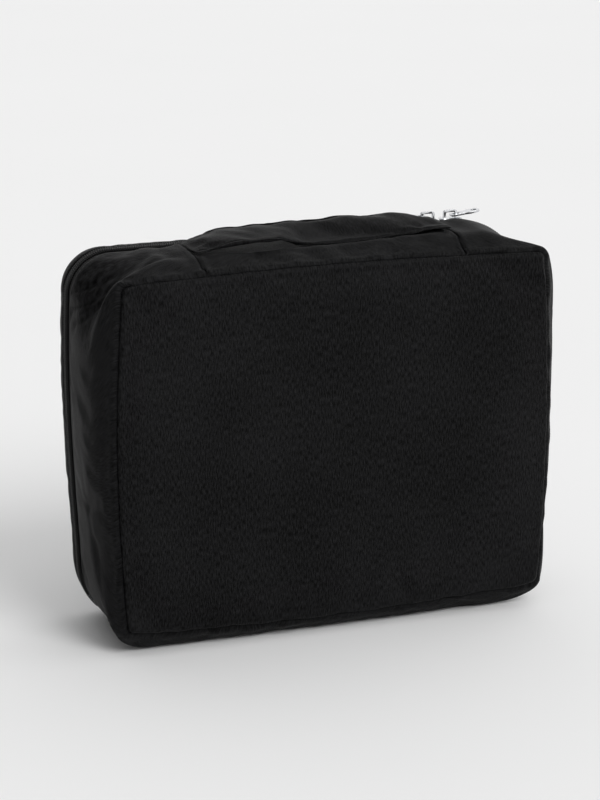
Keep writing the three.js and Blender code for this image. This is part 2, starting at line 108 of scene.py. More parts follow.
# Point of the skin: s runs round the bag (0 to 1 up the left, 1 to 2 along the top, 2 to 3 down the right,
# 3 to 4 back along the bottom), d is the depth from the front seam, k how far inside the skin the point lies.
# Each side is a straight with half a round corner at either end, and the outline swells with sin(d).
def skin(s, d, k=0.0):
    s, d, k = np.broadcast_arrays(np.asarray(s, float), np.asarray(d, float), np.asarray(k, float))
    f, fBottom = flare(d, bag["reach"]), flare(d, bag["reachBottom"])
    inset = lidDraw(d) + k
    halfTop = bag["half"] + bag["puffSideTop"] * f - inset
    halfBottom = bag["half"] + bag["puffSideBottom"] * f - inset
    top = bag["seamTop"] + bag["puffTop"] * f - inset
    bottom = bag["seamBottom"] - bag["puffBottom"] * fBottom + 0.6 * lidDraw(d) + k
    topLeft = cornerRadius(d, bag["cornerTopFront"], bag["cornerTopLeft"], inset)
    topRight = cornerRadius(d, bag["cornerTopFront"], bag["cornerTopRight"], inset)
    bottomLeft = cornerRadius(d, bag["cornerBottomLeft"], bag["cornerBottomLeft"], inset)
    bottomRight = cornerRadius(d, bag["cornerBottomRight"], bag["cornerBottomRight"], inset)
    turn = np.mod(s, 4)
    side = np.floor(turn)
    g = turn - side
    share = bag["cornerShare"]
    straight = np.clip((g - share) / (1 - 2 * share), 0, 1)
    early, late = g < share, g > 1 - share
    swing = np.where(early, 1 - g / share, np.where(late, (g - 1) / share + 1, 0))
    a = swing * math.pi / 4
    swell = np.sin(math.pi * straight)
    # left and right
    up = np.where(side == 0, straight, 1 - straight)
    atTop = np.where(side == 0, late, early)
    low, high = np.where(side == 0, bottomLeft, bottomRight), np.where(side == 0, topLeft, topRight)
    r = np.where(atTop, high, low)
    half = mix(halfBottom, halfTop, smooth(up)) + bag["puffSideMiddle"] * f * np.sin(math.pi * up)
    bend = np.where(early | late, r * (1 - np.cos(a)), 0)
    lift = np.where(early | late, r * np.sin(a), 0) * np.where(atTop, 1, -1)
    xSide = np.where(side == 2, 1, -1) * (half - bend + bag["bowSide"] * (1 - f) * swell)
    zSide = mix(bottom + low, top - high, up) + lift
    # top and bottom
    isTop = side == 1
    first, last = np.where(isTop, topLeft, bottomRight), np.where(isTop, topRight, bottomLeft)
    half = np.where(isTop, halfTop, halfBottom)
    r = np.where(early, first, last)
    towards = np.where(early, -1, np.where(late, 1, 0))
    along = mix(first - half, half - last, straight) + towards * r * np.sin(a)
    bend = np.where(early | late, r * (1 - np.cos(a)), 0)
    xFlat = np.where(isTop, along, -along)
    zTop = top - bend + bag["bowTop"] * (1 - f) * swell
    zBottom = bottom + bend - bag["bowBottom"] * (1 - fBottom) * swell
    vertical = (side == 0) | (side == 2)
    x, z = np.where(vertical, xSide, xFlat), np.where(vertical, zSide, np.where(isTop, zTop, zBottom))
    return np.stack([x, bag["frontY"] + d, z], -1)


# s of the point at x on the top's straight, at depth d
def topAt(x, d):
    halfTop = bag["half"] + bag["puffSideTop"] * flare(d, bag["reach"]) - lidDraw(d)
    start = cornerRadius(d, bag["cornerTopFront"], bag["cornerTopLeft"], lidDraw(d)) - halfTop
    end = halfTop - cornerRadius(d, bag["cornerTopFront"], bag["cornerTopRight"], lidDraw(d))
    share = bag["cornerShare"]
    return 1 + mix(share, 1 - share, (x - start) / (end - start))


# length from a path's start to each of its points
def lengthAlong(path):
    return np.concatenate([[0], np.cumsum(np.linalg.norm(np.diff(path, axis=0), axis=1))])


def unitTangent(path):
    tangent = np.gradient(path, axis=0)
    return tangent / np.linalg.norm(tangent, axis=1, keepdims=True)


# s at equal steps of length round the bag at depth d, between two values of s
def evenStops(s0, s1, d, count):
    fine = np.linspace(s0, s1, 3000)
    p = skin(fine, d)
    run = lengthAlong(p)
    return np.interp(np.linspace(0, run[-1], count), run, fine), run[-1]


# the outward direction across the skin, from two nearby insets
def outward(s, d):
    n = skin(s, d, 0.0) - skin(s, d, mm)
    return n / np.linalg.norm(n, axis=-1, keepdims=True)


def gridQuads(rows, columns, closeRows=False, closeColumns=False):
    index = np.arange(rows * columns).reshape(rows, columns)
    if closeRows:
        index = np.vstack([index, index[:1]])
    if closeColumns:
        index = np.hstack([index, index[:, :1]])
    return np.stack([index[:-1, :-1], index[:-1, 1:], index[1:, 1:], index[1:, :-1]], -1).reshape(-1, 4)


def makeMesh(name, points, quads, uv=None, tris=None, sharp=False):
    mesh = bpy.data.meshes.new(name)
    points = np.asarray(points, float).reshape(-1, 3)
    faces = [quads] if tris is None else [quads, tris]
    loops = np.concatenate([f.reshape(-1) for f in faces])
    sizes = np.concatenate([np.full(len(f), f.shape[1]) for f in faces])
    starts = np.concatenate([[0], np.cumsum(sizes)[:-1]])
    mesh.vertices.add(len(points))
    mesh.vertices.foreach_set("co", points.reshape(-1))
    mesh.loops.add(len(loops))
    mesh.loops.foreach_set("vertex_index", loops.astype(np.int32))
    mesh.polygons.add(len(sizes))
    mesh.polygons.foreach_set("loop_start", starts.astype(np.int32))
    mesh.polygons.foreach_set("loop_total", sizes.astype(np.int32))
    mesh.update(calc_edges=True)
    if uv is not None:
        layer = mesh.uv_layers.new(name="cloth")
        layer.data.foreach_set(
            "uv", np.asarray(uv, float).reshape(-1, 2)[loops].reshape(-1).astype(np.float32),
        )
    if not sharp:
        mesh.shade_smooth()
    mesh.validate()
    piece = bpy.data.objects.new(name, mesh)
    bpy.context.scene.collection.objects.link(piece)
    return piece


def applyModifiers(piece):
    bpy.context.view_layer.update()
    done = bpy.data.meshes.new_from_object(piece.evaluated_get(bpy.context.evaluated_depsgraph_get()))
    piece.modifiers.clear()
    old = piece.data
    piece.data = done
    done.name = old.name
    bpy.data.meshes.remove(old)
    return piece


def recalculate(piece):
    work = bmesh.new()
    work.from_mesh(piece.data)
    bmesh.ops.recalc_face_normals(work, faces=work.faces)
    work.to_mesh(piece.data)
    work.free()
    return piece


def movePoints(mesh, co):
    mesh.vertices.foreach_set("co", co.reshape(-1))
    mesh.update()


def coordinates(mesh):
    co = np.empty(len(mesh.vertices) * 3)
    mesh.vertices.foreach_get("co", co)
    return co.reshape(-1, 3)


def thicken(piece, thickness, offset=-1):
    solid = piece.modifiers.new("thickness", "SOLIDIFY")
    solid.thickness = thickness
    solid.offset = offset
    solid.use_even_offset = False
    return piece


def finishPiece(piece, material, body=None, replaces=()):
    piece.data.materials.clear()
    piece.data.materials.append(material)
    if replaces:
        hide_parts(*replaces)
    if body:
        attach(piece, body)
    return piece


# A sheet from a grid of points, its thickness on both sides of them.
def sheetPiece(name, points, clothMap, thickness, material, body, nodes):
    sheet = makeMesh(name, points, gridQuads(*points.shape[:2]), uv=clothMap)
    applyModifiers(thicken(sheet, thickness, 0))
    return finishPiece(sheet, material, body, nodes)


# A profile carried along a path: each ring is the path's point plus across * u + normal * v.
def sweep(path, across, normal, profile, closed=False):
    u, v = profile[None, :, :1], profile[None, :, 1:]
    rings = path[:, None, :] + across[:, None, :] * u + normal[:, None, :] * v
    return rings, gridQuads(len(path), len(profile), closeRows=closed, closeColumns=True)


def roundProfile(radius, sides, second=None):
    a = np.linspace(0, 2 * math.pi, sides, endpoint=False)
    return np.stack([radius * np.cos(a), (second or radius) * np.sin(a)], -1)


# superellipse: a flat band with rounded edges
def bandProfile(width, height, sides=16, power=0.35):
    a = np.linspace(0, 2 * math.pi, sides, endpoint=False)
    c, s = np.cos(a), np.sin(a)
    u, v = (size / 2 * np.sign(w) * np.abs(w) ** power for size, w in ((width, c), (height, s)))
    return np.stack([u, v], -1)


# smooth sum of sines with seeded directions, about -1 to 1
def ripple(p, wavelength, seed, waves=9):
    draw = np.random.default_rng(seed)
    direction = draw.normal(size=(waves, p.shape[-1]))
    direction /= np.linalg.norm(direction, axis=1, keepdims=True)
    length = wavelength * draw.uniform(0.6, 1.7, waves)
    phase = draw.uniform(0, 2 * math.pi, waves)
    value = np.sin(np.tensordot(p, direction.T, 1) * (2 * math.pi / length) + phase)
    return value.sum(-1) / math.sqrt(waves)


def tubeCaps(rings, columns):
    first = np.arange(columns)
    last = np.arange(columns) + (rings - 1) * columns
    return first, last


# ends of an open tube, each closed by a fan round its middle
def closedTube(name, rings, uv=None):
    count, sides = rings.shape[:2]
    points = rings.reshape(-1, 3)
    points = np.vstack([points, rings[0].mean(0), rings[-1].mean(0)])
    quads = gridQuads(count, sides, closeColumns=True)
    first, last = tubeCaps(count, sides)
    startFan = np.stack([np.full(sides, len(points) - 2), np.roll(first, -1), first], -1)
    endFan = np.stack([np.full(sides, len(points) - 1), last, np.roll(last, -1)], -1)
    if uv is not None:
        uv = np.vstack([uv.reshape(-1, 2), uv[0].mean(0), uv[-1].mean(0)])
    piece = makeMesh(name, points, quads, uv=uv, tris=np.vstack([startFan, endFan]))
    return recalculate(piece)


def hexColour(code):
    c = np.array([int(code[i:i + 2], 16) / 255 for i in (1, 3, 5)])
    c = np.where(c <= 0.04045, c / 12.92, ((c + 0.055) / 1.055) ** 2.4)
    return (*c, 1.0)


# adds one node; links maps an input's name or number to the output that feeds it
def addNode(tree, kind, links=None, inputs=None, **settings):
    node = tree.nodes.new(kind)
    for key, value in settings.items():
        setattr(node, key, value)
    for key, value in (inputs or {}).items():
        node.inputs[key].default_value = value
    for key, output in (links or {}).items():
        tree.links.new(output, node.inputs[key])
    return node


# two colours mixed by a factor
def mixColour(tree, factor, dark, light):
    colour = addNode(tree, "ShaderNodeMix", {"Factor": factor}, data_type="RGBA")
    colour.inputs[6].default_value = hexColour(dark)
    colour.inputs[7].default_value = hexColour(light)
    return colour.outputs[2]


def newMaterial(name, **sockets):
    material = bpy.data.materials.new(name)
    material.use_nodes = True
    tree = material.node_tree
    tree.nodes.clear()
    shader = addNode(tree, "ShaderNodeBsdfPrincipled", inputs=sockets)
    addNode(tree, "ShaderNodeOutputMaterial", {"Surface": shader.outputs[0]})
    return material, tree, shader


# Woven cloth: threads drawn across and along the cloth's own map, with slubs stretched along the warp.
# The map is in metres, so a pitch is a real length.
def wovenCloth(name, look):
    material, tree, shader = newMaterial(name, Roughness=look["roughness"], IOR=look["ior"])
    shader.inputs["Sheen Weight"].default_value = look["sheen"]
    shader.inputs["Sheen Roughness"].default_value = look["sheenRoughness"]
    shader.inputs["Specular IOR Level"].default_value = look["specular"]
    place = addNode(tree, "ShaderNodeUVMap", uv_map="cloth").outputs[0]
    perThread = {"Scale": (1 / look["pitch"], 1 / look["pitch"], 1)}
    threadPlace = addNode(tree, "ShaderNodeMapping", {"Vector": place}, perThread).outputs[0]
    # this scale gives one wave to a unit, so one thread to a pitch
    wave = {"Scale": math.pi / 10, "Distortion": 1.2, "Detail": 1.0, "Detail Scale": 0.6}
    warp, weft = (
        addNode(tree, "ShaderNodeTexWave", {"Vector": threadPlace}, wave, bands_direction=way).outputs["Fac"]
        for way in "XY"
    )
    threads = addNode(tree, "ShaderNodeMath", {0: warp, 1: weft}, operation="MULTIPLY").outputs[0]
    perSlub = {"Scale": (1 / look["slubAcross"], 1 / look["slubAlong"], 1)}
    slubPlace = addNode(tree, "ShaderNodeMapping", {"Vector": place}, perSlub).outputs[0]
    slubs = addNode(
        tree, "ShaderNodeTexNoise", {"Vector": slubPlace}, {"Scale": 1.0, "Detail": 3.0, "Roughness": 0.6},
    ).outputs["Fac"]
    objectPlace = addNode(tree, "ShaderNodeTexCoord").outputs["Object"]
    broad = addNode(
        tree, "ShaderNodeTexNoise", {"Vector": objectPlace}, {"Scale": 1 / look["patch"], "Detail": 2.0},
    ).outputs["Fac"]
    blend = addNode(
        tree, "ShaderNodeMath", {0: broad, 2: slubs}, {1: 0.25}, operation="MULTIPLY_ADD",
    ).outputs[0]
    shade = addNode(
        tree, "ShaderNodeMapRange", {"Value": blend}, {"From Min": 0.48, "From Max": 0.8},
    ).outputs[0]
    tree.links.new(mixColour(tree, shade, look["dark"], look["light"]), shader.inputs["Base Color"])
    least, most = look["roughness"] - 0.05, look["roughness"] + 0.06
    span = {"From Min": 0.3, "From Max": 0.7, "To Min": least, "To Max": most}
    rough = addNode(tree, "ShaderNodeMapRange", {"Value": broad}, span).outputs[0]
    tree.links.new(rough, shader.inputs["Roughness"])
    slubBump = addNode(
        tree, "ShaderNodeBump", {"Height": slubs},
        {"Strength": look["slubBump"], "Distance": look["slubHeight"]},
    )
    threadBump = addNode(
        tree, "ShaderNodeBump", {"Height": threads, "Normal": slubBump.outputs[0]},
        {"Strength": look["threadBump"], "Distance": 0.12 * mm},
    )
    tree.links.new(threadBump.outputs[0], shader.inputs["Normal"])
    return material


# black 210-denier nylon, plain weave with a light coating: nearly black, with a soft silky sheen on the folds
shellCloth = wovenCloth("wovenNylonShell", {
    "dark": "#020202", "light": "#1d1d1e", "roughness": 0.52, "ior": 1.5,
    "specular": 0.055, "sheen": 0.0, "sheenRoughness": 0.4,
    "pitch": 0.7 * mm, "slubAcross": 0.7 * mm, "slubAlong": 3.2 * mm, "patch": 60 * mm,
    "slubBump": 1.0, "slubHeight": 0.4 * mm, "threadBump": 0.3,
})
# dark grey polyester lining, smoother and thinner than the shell
liningCloth = wovenCloth("polyesterLining", {
    "dark": "#242528", "light": "#303135", "roughness": 0.46, "ior": 1.5,
    "specular": 0.4, "sheen": 0.1, "sheenRoughness": 0.4,
    "pitch": 0.6 * mm, "slubAcross": 0.8 * mm, "slubAlong": 8 * mm, "patch": 50 * mm,
    "slubBump": 0.25, "slubHeight": 0.15 * mm, "threadBump": 0.2,
})
# woven polyester tape: tight ribs across its length, no shine
tapeCloth = wovenCloth("ribbedPolyesterTape", {
    "dark": "#060606", "light": "#0d0d0e", "roughness": 0.7, "ior": 1.5,
    "specular": 0.3, "sheen": 0.05, "sheenRoughness": 0.6,
    "pitch": 0.9 * mm, "slubAcross": 0.9 * mm, "slubAlong": 1.4 * mm, "patch": 30 * mm,
    "slubBump": 0.4, "slubHeight": 0.15 * mm, "threadBump": 0.7,
})
# satin-woven care label, off-white, blank
labelCloth = wovenCloth("satinLabel", {
    "dark": "#cfccc4", "light": "#e4e1da", "roughness": 0.5, "ior": 1.5,
    "specular": 0.4, "sheen": 0.3, "sheenRoughness": 0.4,
    "pitch": 0.5 * mm, "slubAcross": 0.5 * mm, "slubAlong": 3 * mm, "patch": 12 * mm,
    "slubBump": 0.15, "slubHeight": 0.1 * mm, "threadBump": 0.2,
})


# Knitted mesh: round holes in rows, open to the cloth behind.
def knittedMesh(name, look):
    material, tree, shader = newMaterial(name, Roughness=look["roughness"])
    place = addNode(tree, "ShaderNodeUVMap", uv_map="cloth").outputs[0]
    scaled = addNode(
        tree, "ShaderNodeMapping", {"Vector": place},
        {"Scale": (1 / look["pitch"], 1 / look["pitch"], 1), "Rotation": (0, 0, math.pi / 4)},
    ).outputs[0]
    cells = addNode(
        tree, "ShaderNodeTexVoronoi", {"Vector": scaled}, {"Scale": 1.0, "Randomness": 0.0},
        voronoi_dimensions="2D",
    ).outputs["Distance"]
    hole = addNode(
        tree, "ShaderNodeMapRange", {"Value": cells},
        {"From Min": look["hole"] - 0.04, "From Max": look["hole"] + 0.04},
    ).outputs[0]
    noise = addNode(tree, "ShaderNodeTexNoise", {"Vector": scaled}, {"Scale": 2.0}).outputs["Fac"]
    tree.links.new(mixColour(tree, noise, look["dark"], look["light"]), shader.inputs["Base Color"])
    tree.links.new(hole, shader.inputs["Alpha"])
    bump = addNode(tree, "ShaderNodeBump", {"Height": cells}, {"Strength": 0.5, "Distance": 0.3 * mm})
    tree.links.new(bump.outputs[0], shader.inputs["Normal"])
    return material


# knitted polyester mesh, dark grey, holes about 1.3 mm across
meshCloth = knittedMesh(
    "knittedPolyesterMesh",
    {"dark": "#17181a", "light": "#232427", "roughness": 0.6, "pitch": 2.2 * mm, "hole": 0.3},
)


# Hard pieces: a grain on Object coordinates varies the roughness and gives a fine bump.
def hardFinish(name, dark, light, metallic, roughness, grainSize, bumpStrength):
    material, tree, shader = newMaterial(name, Metallic=metallic, Roughness=roughness)
    place = addNode(tree, "ShaderNodeTexCoord").outputs["Object"]
    grain = addNode(
        tree, "ShaderNodeTexNoise", {"Vector": place},
        {"Scale": 1 / grainSize, "Detail": 4.0, "Roughness": 0.6},
    ).outputs["Fac"]
    tree.links.new(mixColour(tree, grain, dark, light), shader.inputs["Base Color"])
    span = {"From Min": 0.3, "From Max": 0.7, "To Min": roughness * 0.8, "To Max": roughness * 1.25}
    rough = addNode(tree, "ShaderNodeMapRange", {"Value": grain}, span).outputs[0]
    tree.links.new(rough, shader.inputs["Roughness"])
    bump = addNode(
        tree, "ShaderNodeBump", {"Height": grain}, {"Strength": bumpStrength, "Distance": 0.05 * mm},
    )
    tree.links.new(bump.outputs[0], shader.inputs["Normal"])
    return material


# nickel-plated zinc, die-cast and barrel polished: bright, with a faint unevenness
nickelPlate = hardFinish("nickelPlatedZinc", "#c4c6c9", "#dcdddf", 1.0, 0.16, 1.2 * mm, 0.12)
# extruded nylon monofilament: black, slightly glossy
nylonCoil = hardFinish("nylonMonofilament", "#0c0c0d", "#161617", 0.0, 0.34, 2 * mm, 0.1)
# moulded acetal: black, satin, with a fine spark-eroded grain
acetal = hardFinish("mouldedAcetal", "#131314", "#1b1b1c", 0.0, 0.42, 0.5 * mm, 0.3)
# dipped rubber: black and dull
dippedRubber = hardFinish("dippedRubber", "#121212", "#191919", 0.0, 0.7, 0.8 * mm, 0.3)
# bonded polyester thread, black
threadMaterial = hardFinish("bondedThread", "#141415", "#222224", 0.0, 0.5, 0.3 * mm, 0.3)
print("materials made")


cloth = {
    "across": 62, "up": 50,  # cells over the width and height of a big panel
    "thickness": 0.8 * mm, "pressure": 2.2, "frames": 24, "slack": -0.014,
    "seamPull": 0.004, "tautPanel": 0.85,
    "capOut": 1.8 * mm, "capIn": 0.6 * mm, "bendStiffness": 0.5, "bendPanel": 6.0,
}
gathers = {
    # small puckers along a seam, in mm
    "count": 46, "depth": (0.12, 0.45), "width": (2.2, 6.0), "length": (7, 20),
    "undulation": 0.8 * mm, "undulationLength": 90 * mm,
}


handleSeam = 75 * mm
columnLeft, columnRight = float(topAt(-handleSeam, 50 * mm)), float(topAt(handleSeam, 50 * mm))


# how far the top gusset stands above the skin under the handle: more at its right end, nothing at the seams
def topBulge(x, d):
    ends = smooth((x + 122 * mm) / (40 * mm)) * smooth((118 * mm - x) / (34 * mm))
    amount = 2.3 * mm + 2.9 * mm * smooth((x - 5 * mm) / (70 * mm))
    return amount * ends * smooth(d / (17 * mm)) * smooth((57 * mm - d) / (17 * mm))


# stops shared by two opposite sides, at equal steps of their mean length at three depths
def sideStops(cells, first, opposite):
    t = np.linspace(0, 1, 1500)
    mean = np.zeros_like(t)
    for d in (0.0, 12 * mm, 45 * mm):
        for s in (first + t * (1 - 1e-9), opposite + 1 - t * (1 - 1e-9)):
            step = np.linalg.norm(np.diff(skin(s, d), axis=0), axis=1)
            mean[1:] += np.cumsum(step) / step.sum() / 6
    return np.interp(np.linspace(0, 1, cells + 1), mean, t)


# The columns along the top bend so that one of them lies on each cross seam of the handle.
def followSeams(columns, d):
    left, right = float(topAt(-handleSeam, d)), float(topAt(handleSeam, d))
    return np.interp(columns, [0, 1, columnLeft, columnRight, 2, 4], [0, 1, left, right, 2, 4])


# A Coons patch: the two pairs of edges mixed, less the mix of the four corners, plus a dome towards way.
def panelGrid(d, inset, way, rise, uStops, vStops):
    u, v = np.meshgrid(uStops, vStops)
    last = 1 - 1e-9
    left, right = skin(v * last, d, inset), skin(2 + (1 - v) * last, d, inset)
    top, bottom = skin(1 + u * last, d, inset), skin(3 + (1 - u) * last, d, inset)
    corner = [skin(s, d, inset) for s in (0.0, 1.0, 2.0, 3.0)]
    u, v = u[..., None], v[..., None]
    ends = mix(mix(corner[0], corner[3], u), mix(corner[1], corner[2], u), v)
    flat = mix(left, right, u) + mix(bottom, top, v) - ends
    dome = (1 - (2 * u - 1) ** 4) * (1 - (2 * v - 1) ** 4)
    flat[..., 1:2] += way * rise * dome
    return flat


# The panel and its gusset as one cloth: a panel grid, and rows of the gusset that start at the panel's edge.
def buildShell(name, seamDepth, rows, way, rise):
    uStops, vStops = sideStops(cloth["across"], 1, 3), sideStops(cloth["up"], 0, 2)
    for column in (columnLeft - 1, columnRight - 1):
        uStops[np.abs(uStops - column).argmin()] = column
    nu, nv = len(uStops), len(vStops)
    panel = panelGrid(seamDepth, 0.0, way, rise, followSeams(1 + uStops, seamDepth) - 1, vStops)
    index = np.arange(nu * nv).reshape(nv, nu)
    ringS = np.concatenate([vStops[:-1], 1 + uStops[:-1], 3 - vStops[::-1][:-1], 4 - uStops[::-1][:-1]])
    ringIndex = np.concatenate([index[:-1, 0], index[-1, :-1], index[::-1, -1][:-1], index[0, ::-1][:-1]])
    s, d = np.meshgrid(ringS, rows[1:])
    s = np.stack([followSeams(ringS, depth) for depth in rows[1:]])
    atBottom = smooth((ringS - 3) / 0.06) * smooth((4 - ringS) / 0.06)
    hingeEdge = bag["mouth"] + way * 0.3 * mm
    d = seamDepth + (d - seamDepth) * (1 + atBottom * ((hingeEdge - seamDepth) / (rows[-1] - seamDepth) - 1))
    gusset = skin(s, d)
    ringS = followSeams(ringS, seamDepth)
    count = len(ringS)
    points = np.vstack([panel.reshape(-1, 3), gusset.reshape(-1, 3)])
    ringRows = np.vstack([ringIndex, nu * nv + np.arange(gusset.shape[0] * count).reshape(-1, count)])
    ringRows = np.hstack([ringRows, ringRows[:, :1]])
    side = np.stack(
        [ringRows[:-1, :-1], ringRows[:-1, 1:], ringRows[1:, 1:], ringRows[1:, :-1]], -1,
    ).reshape(-1, 4)
    flat = gridQuads(nv, nu)
    quads = np.vstack([flat, side])
    piece = makeMesh(name, points, quads)
    recalculate(piece)
    mesh = piece.data
    # every point keeps where it lies: distance to the seam, s, depth, and whether it is panel
    edge = np.linalg.norm(
        panel.reshape(-1, 1, 3)[:, :, [0, 2]] - skin(ringS, seamDepth)[None, :, [0, 2]], axis=-1,
    )
    panelDistance = edge.min(1)
    panelDistance[ringIndex] = 0
    panelS = ringS[edge.argmin(1)]
    values = {
        "isPanel": np.concatenate([np.ones(nu * nv), np.zeros(s.size)]),
        "seamDistance": np.concatenate([panelDistance, np.abs(d - seamDepth).ravel()]),
        "depthAt": np.concatenate([np.full(nu * nv, seamDepth), d.ravel()]),
    }
    angle = np.concatenate([panelS, s.ravel()]) * math.pi / 2
    values["sCos"], values["sSin"] = np.cos(angle), np.sin(angle)
    for key, value in values.items():
        mesh.attributes.new(key, "FLOAT", "POINT").data.foreach_set("value", value.astype(np.float32))
    faceKind = mesh.attributes.new("panelFace", "INT", "FACE")
    faceKind.data.foreach_set(
        "value", np.concatenate([np.ones(len(flat)), np.zeros(len(side))]).astype(np.int32),
    )
    return piece, ringIndex, ringRows[-1, :-1]


def readAttribute(mesh, name, kind="value"):
    data = np.empty(len(mesh.attributes[name].data), np.float32 if name != "panelFace" else np.int32)
    mesh.attributes[name].data.foreach_get(kind, data)
    return data


# Air inside and slack in the cloth make it swell and buckle between its sewn edges. A point may move only so
# far in along its normal, because the lining is behind it.
def relaxCloth(piece, pins, taut, look):
    mesh = piece.data
    start, normal = coordinates(mesh), vertexNormals(mesh)
    groups = {"sewn": pins, "taut": taut}
    for name, weights in groups.items():
        group = piece.vertex_groups.new(name=name)
        for weight in np.unique(np.round(weights, 1)):
            if weight > 0:
                group.add(np.flatnonzero(np.abs(weights - weight) < 0.05).tolist(), float(weight), "REPLACE")
    sim = piece.modifiers.new("cloth", "CLOTH")
    settings = {
        "quality": 7, "mass": 0.15, "tension_stiffness": 18,
        "compression_stiffness": 18, "shear_stiffness": 6,
        "bending_stiffness": look["bendStiffness"], "bending_stiffness_max": look["bendPanel"],
        "air_damping": 2,
        "vertex_group_bending": "taut", "vertex_group_mass": "sewn", "pin_stiffness": 2, "use_pressure": True,
        "uniform_pressure_force": look["pressure"], "shrink_min": look["slack"],
        "shrink_max": look["seamPull"],
        "vertex_group_shrink": "taut",
    }
    for key, value in settings.items():
        setattr(sim.settings, key, value)
    sim.settings.effector_weights.gravity = 0
    sim.collision_settings.use_self_collision = False
    sim.collision_settings.use_collision = False
    sim.point_cache.frame_end = look["frames"]
    scene = bpy.context.scene
    for number in range(1, look["frames"] + 1):
        scene.frame_set(number)
    moved = bpy.data.meshes.new_from_object(piece.evaluated_get(bpy.context.evaluated_depsgraph_get()))
    shift = coordinates(moved) - start
    bpy.data.meshes.remove(moved)
    piece.modifiers.clear()
    scene.frame_set(1)
    out = (shift * normal).sum(1, keepdims=True)
    along = shift - out * normal
    length = np.linalg.norm(along, axis=1, keepdims=True)
    along *= np.minimum(1, look["capOut"] / np.maximum(length, 1e-9))
    kept = np.clip(out, -look["capIn"], look["capOut"])
    movePoints(piece.data, start + along + kept * normal)
    print(
        "cloth relaxed:", piece.name, "out mm", round(float(out.min() * 1000), 2),
        round(float(out.max() * 1000), 2),
    )


def vertexNormals(mesh):
    n = np.empty(len(mesh.vertices) * 3, np.float32)
    mesh.vertex_normals.foreach_get("vector", n)
    return n.reshape(-1, 3).astype(float)


# Puckers beside a seam: each is a dent of gaussian section that fades with its distance from the seam.
def puckers(run, distance, total, look, seed):
    draw = np.random.default_rng(seed)
    count = look["count"]
    middle = draw.uniform(0, total, count)
    width = draw.uniform(*look["width"], count) * mm
    length = draw.uniform(*look["length"], count) * mm
    depth = draw.uniform(*look["depth"], count) * mm * draw.choice([1, 1, -0.5], count)
    slant = draw.normal(0, 0.35, count)
    out = np.zeros_like(run)
    for m, w, l, a, k in zip(middle, width, length, depth, slant):
        off = run - m - k * distance
        off = (off + total / 2) % total - total / 2
        out -= a * np.exp(-(off / w) ** 2 - (distance / l) ** 2) * smooth((distance - 0.8 * mm) / (5 * mm))
    return out


# Splits a finished shell: the chosen faces become a piece of their own.
def takePart(source, faceMask, name, uv, normals=None):
    mesh = source.data
    loopTotal = np.empty(len(mesh.polygons), np.int32)
    mesh.polygons.foreach_get("loop_total", loopTotal)
    vertex = np.empty(len(mesh.loops), np.int32)
    mesh.loops.foreach_get("vertex_index", vertex)
    chosen = vertex[np.repeat(faceMask, loopTotal)].reshape(-1, 4)
    used, renumbered = np.unique(chosen, return_inverse=True)
    piece = makeMesh(name, coordinates(mesh)[used], renumbered.reshape(-1, 4), uv=uv[used])
    if normals is not None:
        piece.data.normals_split_custom_set_from_vertices(normals[used].tolist())
    return piece


def faceValues(mesh, values):
    vertex = np.empty(len(mesh.loops), np.int32)
    mesh.loops.foreach_get("vertex_index", vertex)
    return values[vertex.reshape(-1, 4)].mean(1)


def creaseSeam(piece, ring, amount):
    mesh = piece.data
    ends = np.empty(len(mesh.edges) * 2, np.int32)
    mesh.edges.foreach_get("vertices", ends)
    inRing = np.isin(ends.reshape(-1, 2), ring).all(1)
    crease = mesh.attributes.new("crease_edge", "FLOAT", "EDGE")
    crease.data.foreach_set("value", np.where(inRing, amount, 0).astype(np.float32))


def subdivide(piece, levels):
    smoothing = piece.modifiers.new("smooth", "SUBSURF")
    smoothing.levels = smoothing.render_levels = levels
    return applyModifiers(piece)


